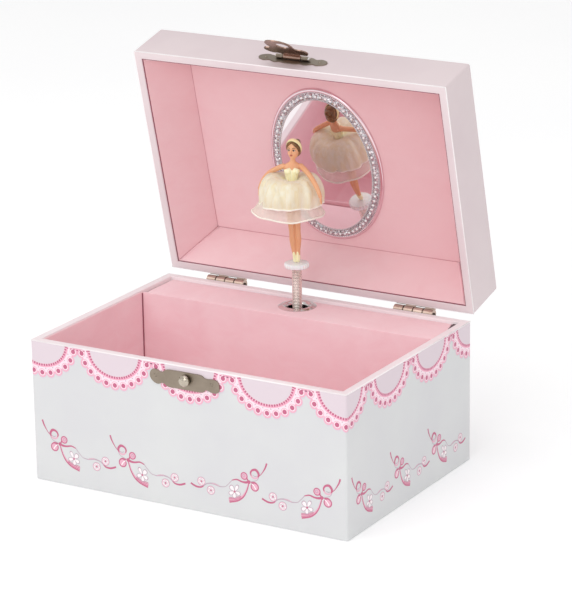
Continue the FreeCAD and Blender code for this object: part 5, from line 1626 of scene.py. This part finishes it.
UP = [(2.75, 139.9), (4.0, 140.5), (6.6, 141.9), (9.8, 142.5), (13.0, 141.3), (15.3, 138.3), (16.4, 134.6), (16.5, 131.2), (16.1, 128.2)]
LOW = [(2.7, 139.4), (4.2, 139.9), (6.8, 140.9), (9.6, 140.9), (11.9, 139.2), (13.4, 136.2), (14.0, 132.4), (14.5, 128.6), (15.8, 125.1), (17.1, 122.3)]
up, up_hem, a_up = skirt("dancer_skirt_upper", UP, -2.3, (0.022, 0.075), [(3, 0.4, 0.42), (7, 2.1, 0.36), (12, 1.0, 0.32), (19, 0.3, 0.24)], 0.7, M_ORG_UP, spread=0.96)
low, low_hem, a_low = skirt("dancer_skirt_lower", LOW, -2.2, (0.012, 0.055), [(3, 2.6, 0.5), (5, 0.3, 0.4), (11, 2.6, 0.2)], 0.7, M_ORG_LOW, spread=0.95, tip=3.0)
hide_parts("dancer_skirt")

# ------------------------------------------------------------------ light and floor
def area(name, loc, target, size, power, col=(1, 1, 1), size_y=None):
    d = bpy.data.lights.new(name, "AREA")
    d.energy = power
    d.color = col
    d.shape = "RECTANGLE"
    d.size = size
    d.size_y = size_y or size
    o = bpy.data.objects.new(name, d)
    o.location = loc
    o.rotation_euler = (Vector(target) - Vector(loc)).to_track_quat("-Z", "Y").to_euler()
    bpy.context.scene.collection.objects.link(o)
    return o


area("key", (-0.9, -1.1, 1.5), (0, 0, 0.08), 1.1, 5.0, (1.0, 0.99, 0.98))
area("front", (0.25, -1.7, 0.85), (0, 0, 0.1), 1.0, 4.8)
area("top", (0.1, -0.1, 1.7), (0, 0, 0.1), 1.4, 5.0)
area("fill", (1.3, -0.9, 0.7), (0, 0, 0.1), 1.0, 1.2, (0.97, 0.98, 1.0))
world = bpy.data.worlds.new("studio")
world.use_nodes = True
world.node_tree.nodes["Background"].inputs[0].default_value = (1, 1, 1, 1)
world.node_tree.nodes["Background"].inputs[1].default_value = 0.72
bpy.context.scene.world = world

fm = Mat("floor_white")
fm.color(fm.mix(fm.map(fm.noise(3.0, 2.0), 0.0, 1.0, 0.4, 0.6), (0.94, 0.94, 0.945), (0.955, 0.955, 0.955)))
fm.set(Roughness=0.7, Emission_Strength=0.16)
fm.b.inputs["Emission Color"].default_value = (1, 1, 1, 1)
me = bpy.data.meshes.new("floor")
me.from_pydata([(-6, -6, 0), (6, -6, 0), (6, 6, 0), (-6, 6, 0)], [], [(0, 1, 2, 3)])
me.materials.append(fm.m)
floor = bpy.data.objects.new("floor", me)
bpy.context.scene.collection.objects.link(floor)
floor.location.z = -0.0001
bpy.context.scene.view_settings.view_transform = "Standard"
bpy.context.scene.view_settings.look = "None"

# ------------------------------------------------------------------ carried-over CAD nodes
FINISH = {
    M_NICKEL: ["catch_plate", "hasp_plate", "catch_nails", "hasp_nails", "hinge_screws_base", "hinge_screws_lid", "winding_key"],
    M_HINGE: ["hinge_leaf_base_left", "hinge_leaf_base_right", "hinge_leaf_lid_left", "hinge_leaf_lid_right"],
    M_BRIGHT: ["deck_grommet", "spring_plug", "hasp_pin"],
    M_KNOB: ["catch_knob"],
    M_HASP: ["hasp"],
    M_PIN_AND_GAP_SHADE: ["hinge_pin_left", "hinge_pin_right"],
    M_BRASS: ["key_escutcheon", "music_cylinder", "great_wheel", "crown_wheel", "governor_wheel", "spindle_post"],
    M_STEEL: ["bedplate", "train_frame", "barrel_bridge", "ratchet_click", "comb", "movement_screws", "ratchet_wheel", "spring_barrel", "mainspring", "winding_arbor", "cylinder_arbor"],
    M_WHITEPL: ["governor_fan"],
}
for mat, names in FINISH.items():
    for nme in names:
        for i in range(len(NODES[nme].data.materials)):
            NODES[nme].data.materials[i] = mat
mm = Mat("mirror_silver")
mm.color(mm.mix(mm.map(mm.noise(6.0), 0.0, 0.3), (0.86, 0.80, 0.82), (0.84, 0.78, 0.80)))
mm.rough(mm.map(mm.noise(30.0), 0.004, 0.012))
mm.set(Metallic=1.0)
NODES["mirror_glass"].data.materials[0] = mm.m
